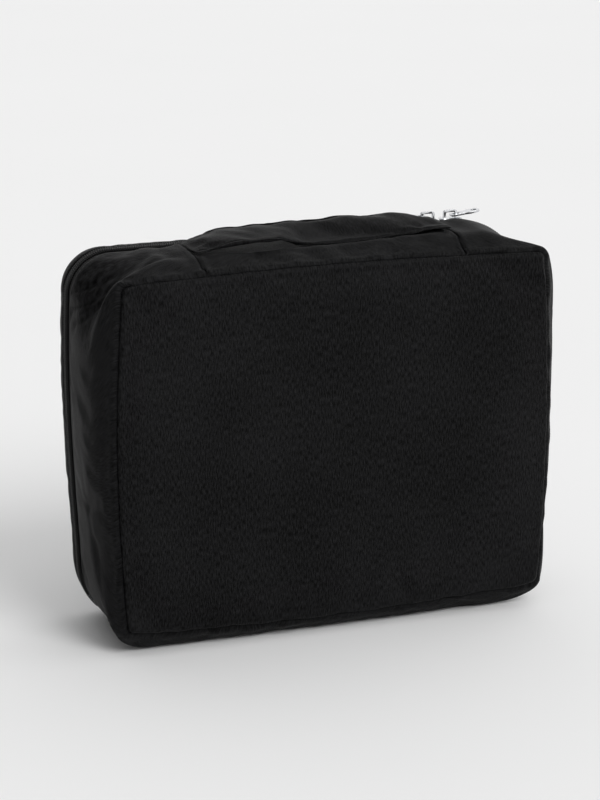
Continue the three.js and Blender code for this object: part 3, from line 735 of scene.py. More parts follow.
# Detail that the coarse cloth can't hold: the seam's groove and rolled edges, gathers, broad undulations.
def seamDetail(piece, way, look, seed):
    mesh = piece.data
    co, normal = coordinates(mesh), vertexNormals(mesh)
    distance = readAttribute(mesh, "seamDistance").astype(float)
    depthAt = readAttribute(mesh, "depthAt").astype(float)
    isPanel = readAttribute(mesh, "isPanel").astype(float)
    angle = np.arctan2(readAttribute(mesh, "sSin"), readAttribute(mesh, "sCos")).astype(float)
    s = np.mod(angle / (math.pi / 2), 4)
    stops = np.linspace(0, 4, 2000)
    edge = skin(stops, np.full(2000, 0.0 if way < 0 else bag["depth"]))
    lengths = lengthAlong(edge)
    run = np.interp(s, stops, lengths)
    move = -look["groove"] * np.exp(-(distance / look["grooveWidth"]) ** 2)
    roll = np.where(isPanel > 0.5, look["rollPanel"], look["rollGusset"])
    move += roll * np.exp(-((distance - 2.6 * mm) / (1.9 * mm)) ** 2)
    move += puckers(run, distance, lengths[-1], look, seed) * np.where(isPanel > 0.5, 1.0, 0.75)
    fade = smooth(distance / (30 * mm)) * np.where(isPanel > 0.5, 1.0, 0.5)
    move += look["undulation"] * ripple(co, look["undulationLength"], seed + 1) * fade
    for x, z, wide, high, amount, slant in look["dents"]:
        above = co[:, 2] - z * mm
        across = co[:, 0] - x * mm - slant * above
        move -= isPanel * amount * mm * np.exp(-(across / (wide * mm)) ** 2 - (above / (high * mm)) ** 2)
    for at, depth, wide, along, amount, slope in look["folds"]:
        offS = (s - at + 2) % 4 - 2
        offD = depthAt - (depth + slope * offS) * mm
        move -= (1 - isPanel) * amount * mm * np.exp(-(offS / along) ** 2 - (offD / (wide * mm)) ** 2)
    if way < 0:
        fromSeam = np.abs(np.abs(co[:, 0]) - handleSeam)
        onTop = (1 - isPanel) * ((s > 1) & (s < 2))
        move -= onTop * 0.9 * mm * np.exp(-(fromSeam / (0.8 * mm)) ** 2)
        move += onTop * 0.35 * mm * np.exp(-((fromSeam - 2.2 * mm) / (1.4 * mm)) ** 2)
        move += onTop * 0.6 * puckers(
            depthAt + 60 * mm * np.sign(co[:, 0]) + 0.1, fromSeam, 0.3, dict(look, count=26), seed + 2,
        )
        move += onTop * topBulge(co[:, 0], depthAt)
    # the gusset's folds stay in front of its lining
    move = np.where((isPanel < 0.5) & (distance > 2.5 * mm), np.maximum(move, -1.2 * mm), move)
    edgeFade = smooth((np.abs(depthAt - look["zipEdge"])) / (4 * mm) + 0.1)
    co += normal * (move * np.where(isPanel > 0.5, 1, edgeFade))[:, None]
    co[:, 2] = np.maximum(co[:, 2], 0.3 * mm)
    if way < 0:
        # the handle presses the cloth under it flat
        fromEnd = handleSeam + 2 * mm - np.abs(co[:, 0])
        under = onTop * smooth(fromEnd / (4 * mm)) * smooth((depthAt - 15 * mm) / (5 * mm))
        limit = skinTop + topBulge(co[:, 0], depthAt) - 0.2 * mm
        co[:, 2] -= under * np.maximum(co[:, 2] - limit, 0)
    movePoints(mesh, co)
    return s, run, depthAt


def mapOf(s, run, depthAt, around):
    total = run.max()
    turned = np.where(s - around > 2, run - total, np.where(around - s > 2, run + total, run))
    return np.stack([turned, depthAt], -1)


mainRows = np.array([0, 1.4, 3.2, 5.5, 8, 11, 14.5, 18, 22, 26, 30, 34, 38, 42, 46, 50, 53.5]) * mm
lidRows = np.array([80, 79.2, 77.8, 75.6, 72.6, 69.6, 66.5]) * mm
frontLook = dict(gathers, **{
    "groove": 1.3 * mm, "grooveWidth": 0.85 * mm, "rollPanel": 0.5 * mm,
    "rollGusset": 0.4 * mm, "zipEdge": 53.5 * mm,
    # dents of the panel: x, z, half width, half height, depth in mm, slant
    "dents": [
        (14, 25, 6, 13, 1.3, 0.5), (38, 24, 5, 12, 1.2, -0.3),
        (58, 22, 7, 9, 1.0, 0.6), (78, 26, 9, 10, 0.6, 0.0),
        (-114, 199, 4, 9, 1.9, -0.5), (-104, 195, 5, 12, 0.7, -1.0), (-70, 90, 55, 30, 1.0, 0.3),
    ],
    # folds of the gusset: s, depth, half width in mm, reach along s, depth in mm, slope in mm per s
    "folds": [
        (0.93, 24, 2.2, 0.15, 1.5, -110), (0.92, 32, 2.2, 0.14, 1.3, -120), (0.93, 41, 2.4, 0.12, 1.1, -120),
        (1.0, 14, 2.4, 0.07, 1.1, -60), (1.14, 16, 2.6, 0.07, 1.1, 90), (1.16, 28, 2.6, 0.05, 0.9, 80),
        (2.03, 14, 2.4, 0.10, 1.1, 60), (2.08, 26, 2.6, 0.12, 1.0, 90), (3.0, 14, 2.6, 0.1, 0.9, 60),
        (3.97, 15, 2.6, 0.1, 0.8, -60), (0.3, 20, 3.2, 0.14, 0.6, 60), (1.55, 11, 3.0, 0.08, 0.7, 20),
        (1.42, 13, 2.5, 0.05, 0.7, -50), (1.66, 12, 2.6, 0.05, 0.7, 60),
    ],
})
lidLook = dict(gathers, **{
    "groove": 1.2 * mm, "grooveWidth": 0.85 * mm, "rollPanel": 0.5 * mm,
    "rollGusset": 0.3 * mm, "zipEdge": 66.5 * mm,
    "dents": [
        (-30, 22, 7, 12, 1.2, 0.3), (52, 20, 6, 11, 1.0, -0.4), (96, 178, 6, 12, 0.9, 0.7),
        (-100, 182, 5, 12, 0.9, -0.7), (20, 110, 70, 26, 0.8, 0.0),
    ],
    "folds": [],
})


def madeShell(name, seamDepth, rows, way, look, seed):
    piece, seamRing, zipRing = buildShell(name, seamDepth, rows, way, bag["crown"])
    start = coordinates(piece.data)
    pins = np.where(start[:, 2] < 0.6 * mm, 0.9, 0.0)
    taut = readAttribute(piece.data, "isPanel") * cloth["tautPanel"]
    pins[seamRing] = pins[zipRing] = taut[seamRing] = 1.0
    relaxCloth(piece, pins, taut, cloth)
    creaseSeam(piece, seamRing, 0.55)
    subdivide(piece, 2)
    s, run, depthAt = seamDetail(piece, way, look, seed)
    return piece, s, run, depthAt


mainShell, s, run, depthAt = madeShell("mainShell", 0.0, mainRows, -1, frontLook, 11)
panelFace = readAttribute(mainShell.data, "panelFace").astype(bool)
co = coordinates(mainShell.data)
panelMap = co[:, [0, 2]]
angleFace = np.mod(
    np.arctan2(
        faceValues(mainShell.data, np.sin(s * math.pi / 2)),
        faceValues(mainShell.data, np.cos(s * math.pi / 2)),
    ) / (math.pi / 2),
    4,
)
faceX = faceValues(mainShell.data, co[:, 0])
onTop = (angleFace > 1) & (angleFace < 2)
parts = {
    "frontPanelPad": (panelFace, panelMap, ["front_panel", "front_foam"]),
    "gussetTop": (
        ~panelFace & onTop & (np.abs(faceX) < handleSeam), mapOf(s, run, depthAt, 1.5), ["gusset_top"],
    ),
    "gussetLeft": (
        ~panelFace & ((angleFace < 1) | (onTop & (faceX < -handleSeam))), mapOf(s, run, depthAt, 0.6),
        ["gusset_left"],
    ),
    "gussetRight": (
        ~panelFace & (((angleFace >= 2) & (angleFace < 3)) | (onTop & (faceX > handleSeam))),
        mapOf(s, run, depthAt, 2.4), ["gusset_right"],
    ),
    "gussetBottom": (~panelFace & (angleFace >= 3), mapOf(s, run, depthAt, 3.5), ["gusset_bottom"]),
}
for name, (mask, clothMap, nodes) in parts.items():
    part = takePart(mainShell, mask, name, clothMap)
    thicken(part, cloth["thickness"])
    finishPiece(part, shellCloth, "main", nodes)
bpy.data.objects.remove(mainShell)
print("main shell made")

lidShell, s, run, depthAt = madeShell("lidShell", bag["depth"], lidRows, 1, lidLook, 37)
panelFace = readAttribute(lidShell.data, "panelFace").astype(bool)
co = coordinates(lidShell.data)
lidPad = thicken(takePart(lidShell, panelFace, "lidPanelPad", co[:, [0, 2]]), cloth["thickness"])
finishPiece(lidPad, shellCloth, "lid", ["lid_panel", "lid_foam"])
lidGusset = thicken(
    takePart(lidShell, ~panelFace, "lidGusset", mapOf(s, run, depthAt, 2.0)), cloth["thickness"],
)
finishPiece(lidGusset, shellCloth, "lid", ["lid_gusset", "lid_hinge_hem"])
bpy.data.objects.remove(lidShell)
print("lid shell made")


band = {
    "front": 19 * mm, "back": 52 * mm, "thick": 2.4 * mm, "cells": 60, "sides": 40,
    "liftFront": 0.9 * mm, "liftBackLeft": 4.0 * mm, "liftBackRight": 4.6 * mm,  # above the skin's top
    "frames": 20, "slack": -0.035, "seamPull": 0.0, "pressure": 0.5, "bendStiffness": 0.25, "bendPanel": 0.25,
    "capOut": 2.5 * mm, "capIn": 2.5 * mm,
}


# A flat tube along x, tilted up towards the zip: each of its edges rises by lift * (1 - a^4) between the two
# seams, and the tube is thin where it is sewn in.
def makeHandle():
    a = np.linspace(-1, 1, band["cells"])[:, None]
    profile = bandProfile(band["back"] - band["front"], band["thick"], band["sides"], 0.5)
    middle = bag["frontY"] + (band["front"] + band["back"]) / 2
    toBack = profile[None, :, 0] / (band["back"] - band["front"]) + 0.5
    lift = mix(band["liftFront"], mix(band["liftBackLeft"], band["liftBackRight"], (a + 1) / 2), toBack)
    x = a * (handleSeam - 0.3 * mm) + 0 * toBack
    base = skinTop + topBulge(x, bag["depth"] / 2 + middle + profile[None, :, 0])
    z = base + 1.5 * mm + lift * (1 - a ** 4) + profile[None, :, 1] * (1 - 0.6 * a ** 8)
    rings = np.stack([x, middle + profile[None, :, 0] + 0 * x, z], -1)
    piece = closedTube("handleBand", rings)
    pins = (np.abs(coordinates(piece.data)[:, 0]) > handleSeam - 4 * mm) * 1.0
    relaxCloth(piece, pins, pins, band)
    subdivide(piece, 2)
    mesh = piece.data
    co, normal = coordinates(mesh), vertexNormals(mesh)
    fade = smooth((handleSeam - np.abs(co[:, 0])) / (12 * mm))
    broad, fine = ripple(co * [1, 0.5, 0.2], 22 * mm, 5), ripple(co * [1, 0.7, 0.3], 9 * mm, 6)
    crumple = 0.45 * mm * broad + 0.25 * mm * fine
    edge = np.abs(co[:, 1] - middle) / ((band["back"] - band["front"]) / 2)
    stitchLine = 0.35 * mm * np.exp(-((edge - 0.86) / 0.035) ** 2)
    co += normal * (crumple * (0.35 + 0.65 * fade) - stitchLine)[:, None]
    base = skinTop + topBulge(co[:, 0], co[:, 1] - bag["frontY"])
    co[:, 2] = np.maximum(
        co[:, 2], base + 0.2 * mm + 0.3 * mm * smooth((handleSeam - np.abs(co[:, 0])) / (9 * mm)),
    )
    movePoints(mesh, co)
    return piece


handleBand = makeHandle()
co, normals = coordinates(handleBand.data), vertexNormals(handleBand.data)
mesh = handleBand.data
centre = np.empty(len(mesh.polygons) * 3, np.float32)
mesh.polygons.foreach_get("center", centre)
centreX = centre.reshape(-1, 3)[:, 0]
for name, mask, end in (("handleLeftHalf", centreX < 0, -1), ("handleRightHalf", centreX >= 0, 1)):
    half = takePart(handleBand, mask, name, co[:, [0, 1]], normals)
    finishPiece(half, shellCloth, None, ["carry_handle"])
    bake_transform(half)
bpy.data.objects.remove(handleBand)
print("handle made")


zipLook = {
    "pitch": 1.3 * mm, "wire": 0.3 * mm, "halfWidth": 1.0 * mm, "halfHeight": 0.85 * mm, "samples": 9,
    "sides": 5, "start": 0.0, "end": 3.0,
}


# A path with its own two directions, put at equal steps of length.
def spread(path, across, normal, step):
    run = lengthAlong(path)
    at = np.arange(0, run[-1], step)
    parts = ([np.interp(at, run, rows[:, i]) for i in range(3)] for rows in (path, across, normal))
    return [np.stack(part, -1) for part in parts], at


# Half a zip's chain: a helix of flattened turns, a wire whose centre line winds about the path.
def coilRow(name, path, across, normal, offset, look, phase):
    (p, a, n), at = spread(path, across, normal, look["pitch"] / look["samples"])
    turn = 2 * math.pi * at / look["pitch"] + phase
    flat = np.cos(turn)[:, None] * a * look["halfWidth"] + np.sin(turn)[:, None] * n * look["halfHeight"]
    centre = p + a * offset + flat
    tangent = unitTangent(centre)
    radial = flat / np.linalg.norm(flat, axis=1, keepdims=True)
    first = radial - (radial * tangent).sum(1, keepdims=True) * tangent
    first /= np.linalg.norm(first, axis=1, keepdims=True)
    second = np.cross(tangent, first)
    return closedTube(name, sweep(centre, first, second, roundProfile(look["wire"], look["sides"]))[0])


def zipPath(s0, s1, d, k, count=900):
    s, length = evenStops(s0, s1, bag["mouth"], count)
    path = skin(s, d, k)
    return path, outward(s, d), s, length


yAxis = np.array([0.0, 1.0, 0.0])
for name, way, body, node in (
    ("zipCoilMain", -1, "main", "zip_coil_main"), ("zipCoilLid", 1, "lid", "zip_coil_lid"),
):
    path, out, s, length = zipPath(zipLook["start"] + 0.004, zipLook["end"] - 0.004, bag["mouth"], -0.1 * mm)
    across = np.broadcast_to(yAxis * way, path.shape)
    coil = coilRow(
        name, path, across, out, zipLook["halfWidth"] + 0.12 * mm, zipLook, 0 if way < 0 else math.pi,
    )
    finishPiece(coil, nylonCoil, body, [node])


# A strip of cloth on the bag's skin, between two depths.
def skinStrip(
    name, s0, s1, depths, k, thickness, count, material, body, nodes, wave=0.0, seed=1,
    ringClosed=False,
):
    s, length = evenStops(s0, s1, bag["mouth"], count)
    if ringClosed:
        s = s[:-1]
    grid, d = np.meshgrid(s, depths)
    kk = np.full(grid.shape, k)
    if wave:
        kk = kk + wave * (1 + ripple(skin(grid, d, k), 38 * mm, seed))
    points = skin(grid, d, kk)
    alongRun = np.broadcast_to(np.linspace(0, length, count)[:len(s)], grid.shape)
    clothMap = np.stack([alongRun, d], -1)
    quads = gridQuads(len(depths), len(s), closeColumns=ringClosed)
    strip = makeMesh(name, points, quads, uv=clothMap)
    middle = strip.data.polygons[len(strip.data.polygons) // 2]
    out = outward(np.array([s[len(s) // 2]]), np.array([depths[len(depths) // 2]]))[0]
    if middle.normal.dot(out) < 0:
        strip.data.flip_normals()
    thicken(strip, thickness)
    return finishPiece(strip, material, body, nodes)


tapeRows = np.linspace(0.9, 12, 8) * mm
for name, way, body, node in (
    ("zipTapeMain", -1, "main", "zip_tape_main"), ("zipTapeLid", 1, "lid", "zip_tape_lid"),
):
    depths = bag["mouth"] + way * tapeRows
    skinStrip(name, -0.05, 3.05, depths, 1.2 * mm, 0.6 * mm, 420, tapeCloth, body, [node])



# One stitch's shape, repeated at equal steps along a path.
def stitchRow(name, path, across, normal, look, body):
    (p, a, n), at = spread(path, across, normal, look["pitch"])
    tangent = unitTangent(p)
    t = np.array([-1, -0.8, -0.3, 0.3, 0.8, 1])[:, None]
    around = np.linspace(0, 2 * math.pi, 6, endpoint=False)[None, :]
    thick = look["radius"] * np.array([0.3, 0.8, 1, 1, 0.8, 0.3])[:, None]
    template = np.stack(
        [t * look["length"] / 2 + 0 * around, thick * np.cos(around), thick * np.sin(around)], -1,
    ).reshape(-1, 3)
    u, v, w = (template[None, :, i:i + 1] for i in range(3))
    points = p[:, None] + u * tangent[:, None] + v * a[:, None] + w * n[:, None]
    one = gridQuads(6, 6, closeColumns=True)
    quads = (one[None] + 36 * np.arange(len(p))[:, None, None]).reshape(-1, 4)
    caps = np.array([[0, 1, 2, 3], [0, 3, 4, 5], [30, 33, 32, 31], [30, 35, 34, 33]])
    caps = (caps[None] + 36 * np.arange(len(p))[:, None, None]).reshape(-1, 4)
    row = recalculate(makeMesh(name, points, np.vstack([quads, caps])))
    return finishPiece(row, threadMaterial, body)


stitch = {"pitch": 3.0 * mm, "length": 2.3 * mm, "radius": 0.24 * mm}
for name, d, body in (("zipStitchingMain", 52.0 * mm, "main"), ("zipStitchingLid", 68.2 * mm, "lid")):
    path, out, s, length = zipPath(0.0, 3.0, d, -0.08 * mm)
    stitchRow(name, path, np.broadcast_to(yAxis, path.shape), out, stitch, body)
print("zip made")


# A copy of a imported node, merged, its flat faces joined, and its edges rounded off.
def softenedCopy(node, name, width, material, body, segments=3):
    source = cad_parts[node]
    work = bmesh.new()
    work.from_mesh(source.data)
    bmesh.ops.remove_doubles(work, verts=work.verts, dist=2e-6)
    bmesh.ops.dissolve_limit(work, angle_limit=math.radians(2), verts=work.verts, edges=work.edges)
    mesh = bpy.data.meshes.new(name)
    work.to_mesh(mesh)
    work.free()
    mesh.materials.clear()
    piece = bpy.data.objects.new(name, mesh)
    bpy.context.scene.collection.objects.link(piece)
    bevel = piece.modifiers.new("edges", "BEVEL")
    bevel.width = width
    bevel.segments = segments
    bevel.limit_method = "ANGLE"
    bevel.angle_limit = math.radians(32)
    bevel.use_clamp_overlap = True
    applyModifiers(piece)
    piece.data.shade_smooth()
    piece.data.set_sharp_from_angle(angle=math.radians(40))
    return finishPiece(piece, material, body, [node])


# node, piece, rounding in mm and body of each nickel-plated casting
for node, name, rounding, body in (
    ("slider_left", "sliderLeft", 0.32, "left_slider"),
    ("slider_right", "sliderRight", 0.32, "right_slider"),
    ("pull_left", "pullLeft", 0.3, "left_pull"),
    ("pull_right", "pullRight", 0.3, "right_pull"),
    ("pocket_slider", "pocketSlider", 0.24, "pocket_slider_body"),
    ("pocket_pull", "pocketPull", 0.22, "pocket_pull_body"),
):
    softenedCopy(node, name, rounding * mm, nickelPlate, body)
softenedCopy("hook_base", "hookBase", 0.6 * mm, acetal, "hook_block")

hookLook = {
    "tilt": 24, "wire": 1.6 * mm, "tip": 2.6 * mm, "pivotY": mouthY + 3.5 * mm, "pivotZ": skinTop - 7.5 * mm,
}
# the wire's bends in the hook's own plane: x and z in mm from the pivot
hookBends = np.array([
    [0, -6.2], [0, -12], [0, -18], [4.5, -23], [13, -28], [17.5, -37.5], [13.5, -48.5], [4, -54.5],
    [-7, -53.5], [-15, -46.5], [-17.5, -37.5], [-17.5, -33.5],
]) * mm


# Catmull-Rom curve through the bends, one array per span
def throughPoints(points, perSpan):
    p = np.vstack([2 * points[0] - points[1], points, 2 * points[-1] - points[-2]])
    t = np.linspace(0, 1, perSpan, endpoint=False)[:, None, None]
    a, b, c, d = p[:-3], p[1:-2], p[2:-1], p[3:]
    square, cube = 2 * a - 5 * b + 4 * c - d, 3 * b - a - 3 * c + d
    curve = 0.5 * ((2 * b) + (c - a) * t + square * t ** 2 + cube * t ** 3)
    return np.vstack([curve.transpose(1, 0, 2).reshape(-1, points.shape[1]), points[-1:]])


def hookPlane(x, z, out=0.0):
    tilt = math.radians(hookLook["tilt"])
    y = hookLook["pivotY"] + z * math.sin(tilt) + out * math.cos(tilt)
    return np.stack([x, y + 0 * x, hookLook["pivotZ"] + z * math.cos(tilt) - out * math.sin(tilt)], -1)


line = throughPoints(hookBends, 8)
path = hookPlane(line[:, 0], line[:, 1])
tangent = unitTangent(path)
tilt = math.radians(hookLook["tilt"])
planeNormal = np.array([0, math.cos(tilt), -math.sin(tilt)])
sideways = np.cross(tangent, planeNormal)
wire = closedTube(
    "hookWire",
    sweep(path, sideways, np.broadcast_to(planeNormal, path.shape), roundProfile(hookLook["wire"], 18))[0],
)
finishPiece(wire, nickelPlate, "hook", ["hook_wire"])
theta, phi = np.meshgrid(
    np.linspace(0.12, math.pi - 0.12, 18), np.linspace(0, 2 * math.pi, 24, endpoint=False), indexing="ij",
)
tipZ = -33.2 * mm + 0.3 * mm + hookLook["tip"]
ball = hookPlane(
    -17.5 * mm + hookLook["tip"] * np.sin(theta) * np.cos(phi), tipZ - hookLook["tip"] * np.cos(theta),
    hookLook["tip"] * np.sin(theta) * np.sin(phi),
)
tip = closedTube("hookTip", ball)
finishPiece(tip, dippedRubber, "hook", ["hook_tip"])

# the strap that holds the hook: flat from the mouth's top edge, then once round the bar
strapStart = np.array([49 * mm + bag["frontY"], skinTop - 5.0 * mm])
pivot = np.array([hookLook["pivotY"], hookLook["pivotZ"]])
loopAngle = np.radians(np.linspace(100, -205, 30))
loop = pivot + 2.3 * mm * np.stack([np.cos(loopAngle), np.sin(loopAngle)], -1)
lead = mix(strapStart, loop[0], smooth(np.linspace(0, 0.97, 14))[:, None])
strap = np.vstack([lead, loop])
path = np.stack([np.zeros(len(strap)), strap[:, 0], strap[:, 1]], -1)
tangent = unitTangent(path)
xAxis = np.broadcast_to(np.array([1.0, 0, 0]), path.shape)
rings = sweep(path, xAxis, np.cross(tangent, xAxis), bandProfile(15 * mm, 0.75 * mm, 20))[0]
run = lengthAlong(path)
tabMap = np.stack([rings[..., 0], np.broadcast_to(run[:, None], rings.shape[:2])], -1)
hookTab = closedTube("hookTab", rings, uv=tabMap)
finishPiece(hookTab, tapeCloth, "main", ["hook_tab"])
print("hardware made")


def panelSheet(
    name, d, inset, yAt, rise, material, body, nodes, seed, thickness=0.6 * mm, puff=0.5 * mm,
):
    u, v = np.linspace(0, 1, 90), np.linspace(0, 1, 74)
    grid = panelGrid(d, inset, 1, 0.0, u, v)
    uu, vv = np.meshgrid(u, v)
    dome = (1 - (2 * uu - 1) ** 4) * (1 - (2 * vv - 1) ** 4)
    grid[..., 1] = bag["frontY"] + yAt + rise * dome + puff * ripple(grid[..., [0, 2]], 55 * mm, seed) * dome
    sheet = makeMesh(name, grid, gridQuads(74, 90), uv=grid[..., [0, 2]])
    thicken(sheet, thickness, 0)
    return finishPiece(sheet, material, body, nodes)


panelSheet(
    "frontLining", 0.0, 4.5 * mm, 2.6 * mm, -2.2 * mm, liningCloth, "main", ["front_lining"], 3,
)
panelSheet(
    "lidLining", bag["depth"], 4.5 * mm, 77.3 * mm, 1.0 * mm, liningCloth, "lid", ["lid_lining"],
    4,
)
gussetLiningRows = np.array([3.2, 4.8, 7.5, 10.5, 14, 18, 24, 30, 36, 42, 47.4]) * mm
gussetLiningNodes = ["gusset_lining_" + side for side in ("left", "top", "right", "bottom")]
skinStrip(
    "gussetLining", 0.0, 4.0, gussetLiningRows, 2.1 * mm, 0.5 * mm, 480, liningCloth, "main",
    gussetLiningNodes, wave=0.25 * mm, seed=8, ringClosed=True,
)
skinStrip(
    "lidGussetLining", 0.0, 4.0, np.array([66.5, 68.5, 70.5, 72.5, 74.8]) * mm,
    1.5 * mm, 0.6 * mm, 480, liningCloth,
    "lid", ["lid_gusset_lining"], wave=0.15 * mm, seed=9, ringClosed=True,
)


# A bound edge: a soft band carried once round the bag.
def bindingRing(name, d, k, wide, high, body, node):
    s, length = evenStops(0.0, 4.0, d, 361)
    s = s[:-1]
    path = skin(s, d, k)
    rings, quads = sweep(
        path, np.broadcast_to(yAxis, path.shape), outward(s, np.full(len(s), d)),
        bandProfile(wide, high, 16, 0.5), closed=True,
    )
    along = np.broadcast_to(np.linspace(0, length, 361)[:-1, None], rings.shape[:2])
    around = np.broadcast_to(np.linspace(0, 2 * (wide + high), 16)[None, :], rings.shape[:2])
    ring = recalculate(makeMesh(name, rings, quads, uv=np.stack([around, along], -1)))
    return finishPiece(ring, tapeCloth, body, [node])


bindingRing("frontSeamBinding", 3.85 * mm, 5.2 * mm, 1.1 * mm, 5.6 * mm, "main", "front_seam_binding")
bindingRing("mouthBinding", 47 * mm, 2.55 * mm, 6 * mm, 0.9 * mm, "main", "mouth_binding")
bindingRing("lidSeamBinding", 75.8 * mm, 4.3 * mm, 1.2 * mm, 3.4 * mm, "lid", "lid_seam_binding")

hingeLow, hingeHigh = nodeBox("hinge_strip")
x = np.linspace(hingeLow[0], hingeHigh[0], 120)
y = np.linspace(hingeLow[1], hingeHigh[1], 24)
gx, gy = np.meshgrid(x, y)
gz = (hingeLow[2] + hingeHigh[2]) / 2 + 0.12 * mm * ripple(np.stack([gx, gy], -1), 24 * mm, 12)
hingePoints = np.stack([gx, gy, gz], -1)
hinge = sheetPiece(
    "hingeTape", hingePoints, hingePoints[..., [1, 0]], 0.6 * mm, tapeCloth, None, ["hinge_strip"],
)
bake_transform(hinge)


pocketLow, pocketHigh = nodeBox("front_pocket")
pocket = {
    "half": pocketHigh[0], "low": pocketLow[2], "high": pocketHigh[2], "hem": 8 * mm, "pleat": 8 * mm,
    "pleatDepth": 0.7 * mm,
}


# The pocket's cloth stands away from the lining by an arc that grows towards its gathered elastic.
def pocketSheet(name, z0, z1, rows, thickness, material, node, ruffle):
    a, z = np.meshgrid(np.linspace(-1, 1, 260), np.linspace(z0, z1, rows))
    up = np.clip((z - pocket["low"]) / (pocket["high"] - pocket["low"]), 0, 1)
    wander = 0.8 * ripple(a[..., None] * pocket["half"], 40 * mm, 14)
    turns = 2 * math.pi * a * pocket["half"] / pocket["pleat"]
    pleats = pocket["pleatDepth"] * ruffle * up ** 2 * np.sin(turns + wander)
    y = bag["frontY"] + 5.3 * mm + 9 * mm * np.sqrt(1 - 0.98 * a * a) * up + pleats
    points = np.stack([a * pocket["half"], y, z], -1)
    steps = np.linalg.norm(np.diff(points, axis=1), axis=-1)
    run = np.concatenate([np.zeros((rows, 1)), np.cumsum(steps, 1)], 1)
    heights = np.linalg.norm(np.diff(points, axis=0), axis=-1)
    area = float((0.5 * (steps[:-1] + steps[1:]) * 0.5 * (heights[:, :-1] + heights[:, 1:])).sum())
    sheet = sheetPiece(name, points, np.stack([run, z], -1), thickness, material, "main", [node])
    return sheet, area, z1 - z0


frontPocket, area, tall = pocketSheet(
    "frontPocket", pocket["low"], pocket["high"], 40, 0.5 * mm, liningCloth, "front_pocket", 1.0,
)
elastic, elasticArea, elasticTall = pocketSheet(
    "pocketElastic", pocket["high"] + 0.3 * mm, pocket["high"] + pocket["hem"], 8, 0.9 * mm, tapeCloth,
    "front_pocket_elastic", 0.9,
)

labelLow, labelHigh = nodeBox("care_label")
gx, gz = np.meshgrid(np.linspace(labelLow[0], labelHigh[0], 24), np.linspace(labelLow[2], labelHigh[2], 30))
gy = labelLow[1] + 0.1 * mm + 2.2 * mm * ((labelHigh[2] - gz) / (labelHigh[2] - labelLow[2])) ** 2
labelPoints = np.stack([gx, gy, gz], -1)
labelNodes = ["care_label"]
label = sheetPiece(
    "careLabel", labelPoints, labelPoints[..., [0, 2]], 0.3 * mm, labelCloth, "main", labelNodes,
)

lidPocket = {"d": 70.8 * mm, "zip": 178 * mm, "tape": 6 * mm, "inset": 6.4 * mm}


# Half the width of the lid's inside at height z, from its outline
def insideHalf(z):
    s = np.linspace(-0.5, 1.5, 1200)
    p = skin(s, bag["zipEnd"], lidPocket["inset"])
    order = np.argsort(p[:, 2])
    return -np.interp(z, p[order, 2], p[order, 0])


def lidSheet(name, z0, z1, rows, material, node, puff, seed):
    a, z = np.meshgrid(np.linspace(-1, 1, 120), np.linspace(z0, z1, rows))
    x = a * insideHalf(z)
    fade = np.sin(math.pi * (a + 1) / 2) ** 0.5 * np.sin(math.pi * (z - z0) / (z1 - z0)) ** 0.5
    bulge = 0.5 + 0.5 * ripple(np.stack([x, z], -1), 40 * mm, seed)
    y = bag["frontY"] + lidPocket["d"] + puff * fade * bulge
    points = np.stack([x, y, z], -1)
    return sheetPiece(name, points, points[..., [0, 2]], 0.5 * mm, material, "lid", [node])


meshLow, meshHigh = nodeBox("lid_mesh_pocket")
meshPanel = lidSheet(
    "lidMeshPocket", meshLow[2], meshHigh[2], 80, meshCloth, "lid_mesh_pocket", 0.9 * mm, 21,
)
zs = np.linspace(meshLow[2], meshHigh[2], 200)
meshArea = float((2 * insideHalf(zs)).mean() * (meshHigh[2] - meshLow[2]))
float(2 * insideHalf(zs).max())
bandLow, bandHigh = nodeBox("lid_pocket_band")
lidSheet(
    "lidPocketBand", bandLow[2], bandHigh[2] - 0.1 * mm, 16, shellCloth, "lid_pocket_band",
    0.4 * mm, 22,
)
for name, node in (
    ("pocketTapeLower", "pocket_zip_tape_lower"), ("pocketTapeUpper", "pocket_zip_tape_upper"),
):
    low, high = nodeBox(node)
    gx, gz = np.meshgrid(np.linspace(low[0], high[0], 120), np.linspace(low[2], high[2], 8))
    points = np.stack([gx, np.full_like(gx, (low[1] + high[1]) / 2), gz], -1)
    sheetPiece(name, points, points[..., [0, 2]], 0.55 * mm, tapeCloth, "lid", [node])
smallCoil = dict(zipLook, pitch=1.15 * mm, wire=0.26 * mm, halfWidth=0.9 * mm, halfHeight=0.55 * mm)
for name, node, way in (
    ("pocketCoilLower", "pocket_zip_coil_lower", -1), ("pocketCoilUpper", "pocket_zip_coil_upper", 1),
):
    low, high = nodeBox(node)
    x = np.linspace(low[0], high[0], 60)
    path = np.stack([x, np.full(60, (low[1] + high[1]) / 2), np.full(60, lidPocket["zip"])], -1)
    across, out = (np.broadcast_to(axis, path.shape) for axis in ([0, 0, way * 1.0], [0, -1.0, 0]))
    offset, phase = smallCoil["halfWidth"] + 0.1 * mm, 0 if way < 0 else math.pi
    coil = coilRow(name, path, across, out, offset, smallCoil, phase)
    finishPiece(coil, nylonCoil, "lid", [node])
print("inside made")


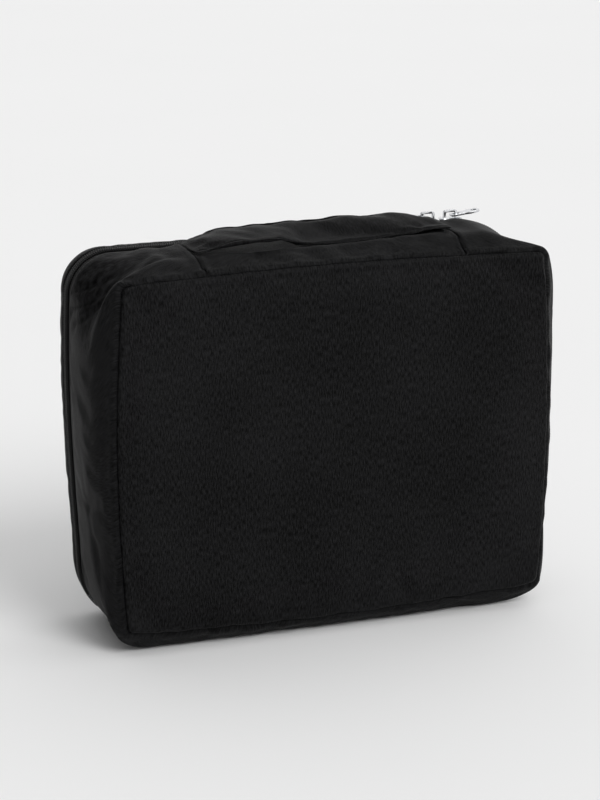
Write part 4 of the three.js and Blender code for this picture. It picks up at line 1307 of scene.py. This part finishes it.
studio = {
    "floorDark": "#efefef", "floor": "#f1f1f1", "world": "#f5f5f5", "worldStrength": 1.12,
    "floorHalf": 12.0, "sunFrom": (0.35, -1.0, 0.85), "sunStrength": 1.3, "sunAngle": 30,
    "azimuth": -20.6, "elevation": 15.6, "lens": 124.5,
    "camera": (-0.5296, -1.3895, 0.5385),
}
floorMaterial, floorTree, floorShader = newMaterial("matteStudioFloor", Roughness=0.9)
floorShader.inputs["Specular IOR Level"].default_value = 0.1
floorPlace = addNode(floorTree, "ShaderNodeTexCoord").outputs["Object"]
speckle = addNode(floorTree, "ShaderNodeTexNoise", {"Vector": floorPlace}, {"Scale": 3.0})
floorColour = mixColour(floorTree, speckle.outputs["Fac"], studio["floorDark"], studio["floor"])
floorTree.links.new(floorColour, floorShader.inputs["Base Color"])
floorCorners = np.array([[-1, -1, 0], [1, -1, 0], [1, 1, 0], [-1, 1, 0]]) * studio["floorHalf"]
floor = makeMesh("studioFloor", floorCorners, np.array([[0, 1, 2, 3]]))
floor.data.materials.append(floorMaterial)

world = bpy.data.worlds.new("studioLight")
world.use_nodes = True
world.node_tree.nodes["Background"].inputs[0].default_value = hexColour(studio["world"])
# the studio's left side is darker: the sky's strength falls with the direction's x
sky = world.node_tree
skyVector = addNode(sky, "ShaderNodeTexCoord").outputs["Generated"]
skyWay = addNode(sky, "ShaderNodeSeparateXYZ", {"Vector": skyVector}).outputs["X"]
skyRange = {
    "From Min": -0.8, "From Max": 0.15, "To Min": 0.1 * studio["worldStrength"],
    "To Max": studio["worldStrength"],
}
skyStrength = addNode(sky, "ShaderNodeMapRange", {"Value": skyWay}, skyRange).outputs[0]
sky.links.new(skyStrength, sky.nodes["Background"].inputs[1])
bpy.context.scene.world = world
bpy.context.scene.view_settings.view_transform = "Standard"


def addLight(name, kind, place, target, energy, **settings):
    light = bpy.data.lights.new(name, kind)
    light.energy = energy
    for key, value in settings.items():
        setattr(light, key, value)
    lamp = bpy.data.objects.new(name, light)
    bpy.context.scene.collection.objects.link(lamp)
    lamp.location = place
    lamp.rotation_euler = (Vector(target) - Vector(place)).to_track_quat("-Z", "Y").to_euler()


addLight(
    "keyPanel", "SUN", studio["sunFrom"], (0, 0, 0), studio["sunStrength"],
    angle=math.radians(studio["sunAngle"]),
)

lens = bpy.data.cameras.new("camera")
lens.lens = studio["lens"]
lens.sensor_width = 36
lens.clip_end = 60
camera = bpy.data.objects.new("camera", lens)
bpy.context.scene.collection.objects.link(camera)
camera.location = studio["camera"]
camera.rotation_euler = (math.radians(90 - studio["elevation"]), 0, math.radians(studio["azimuth"]))
bpy.context.scene.camera = camera

print("scene made")
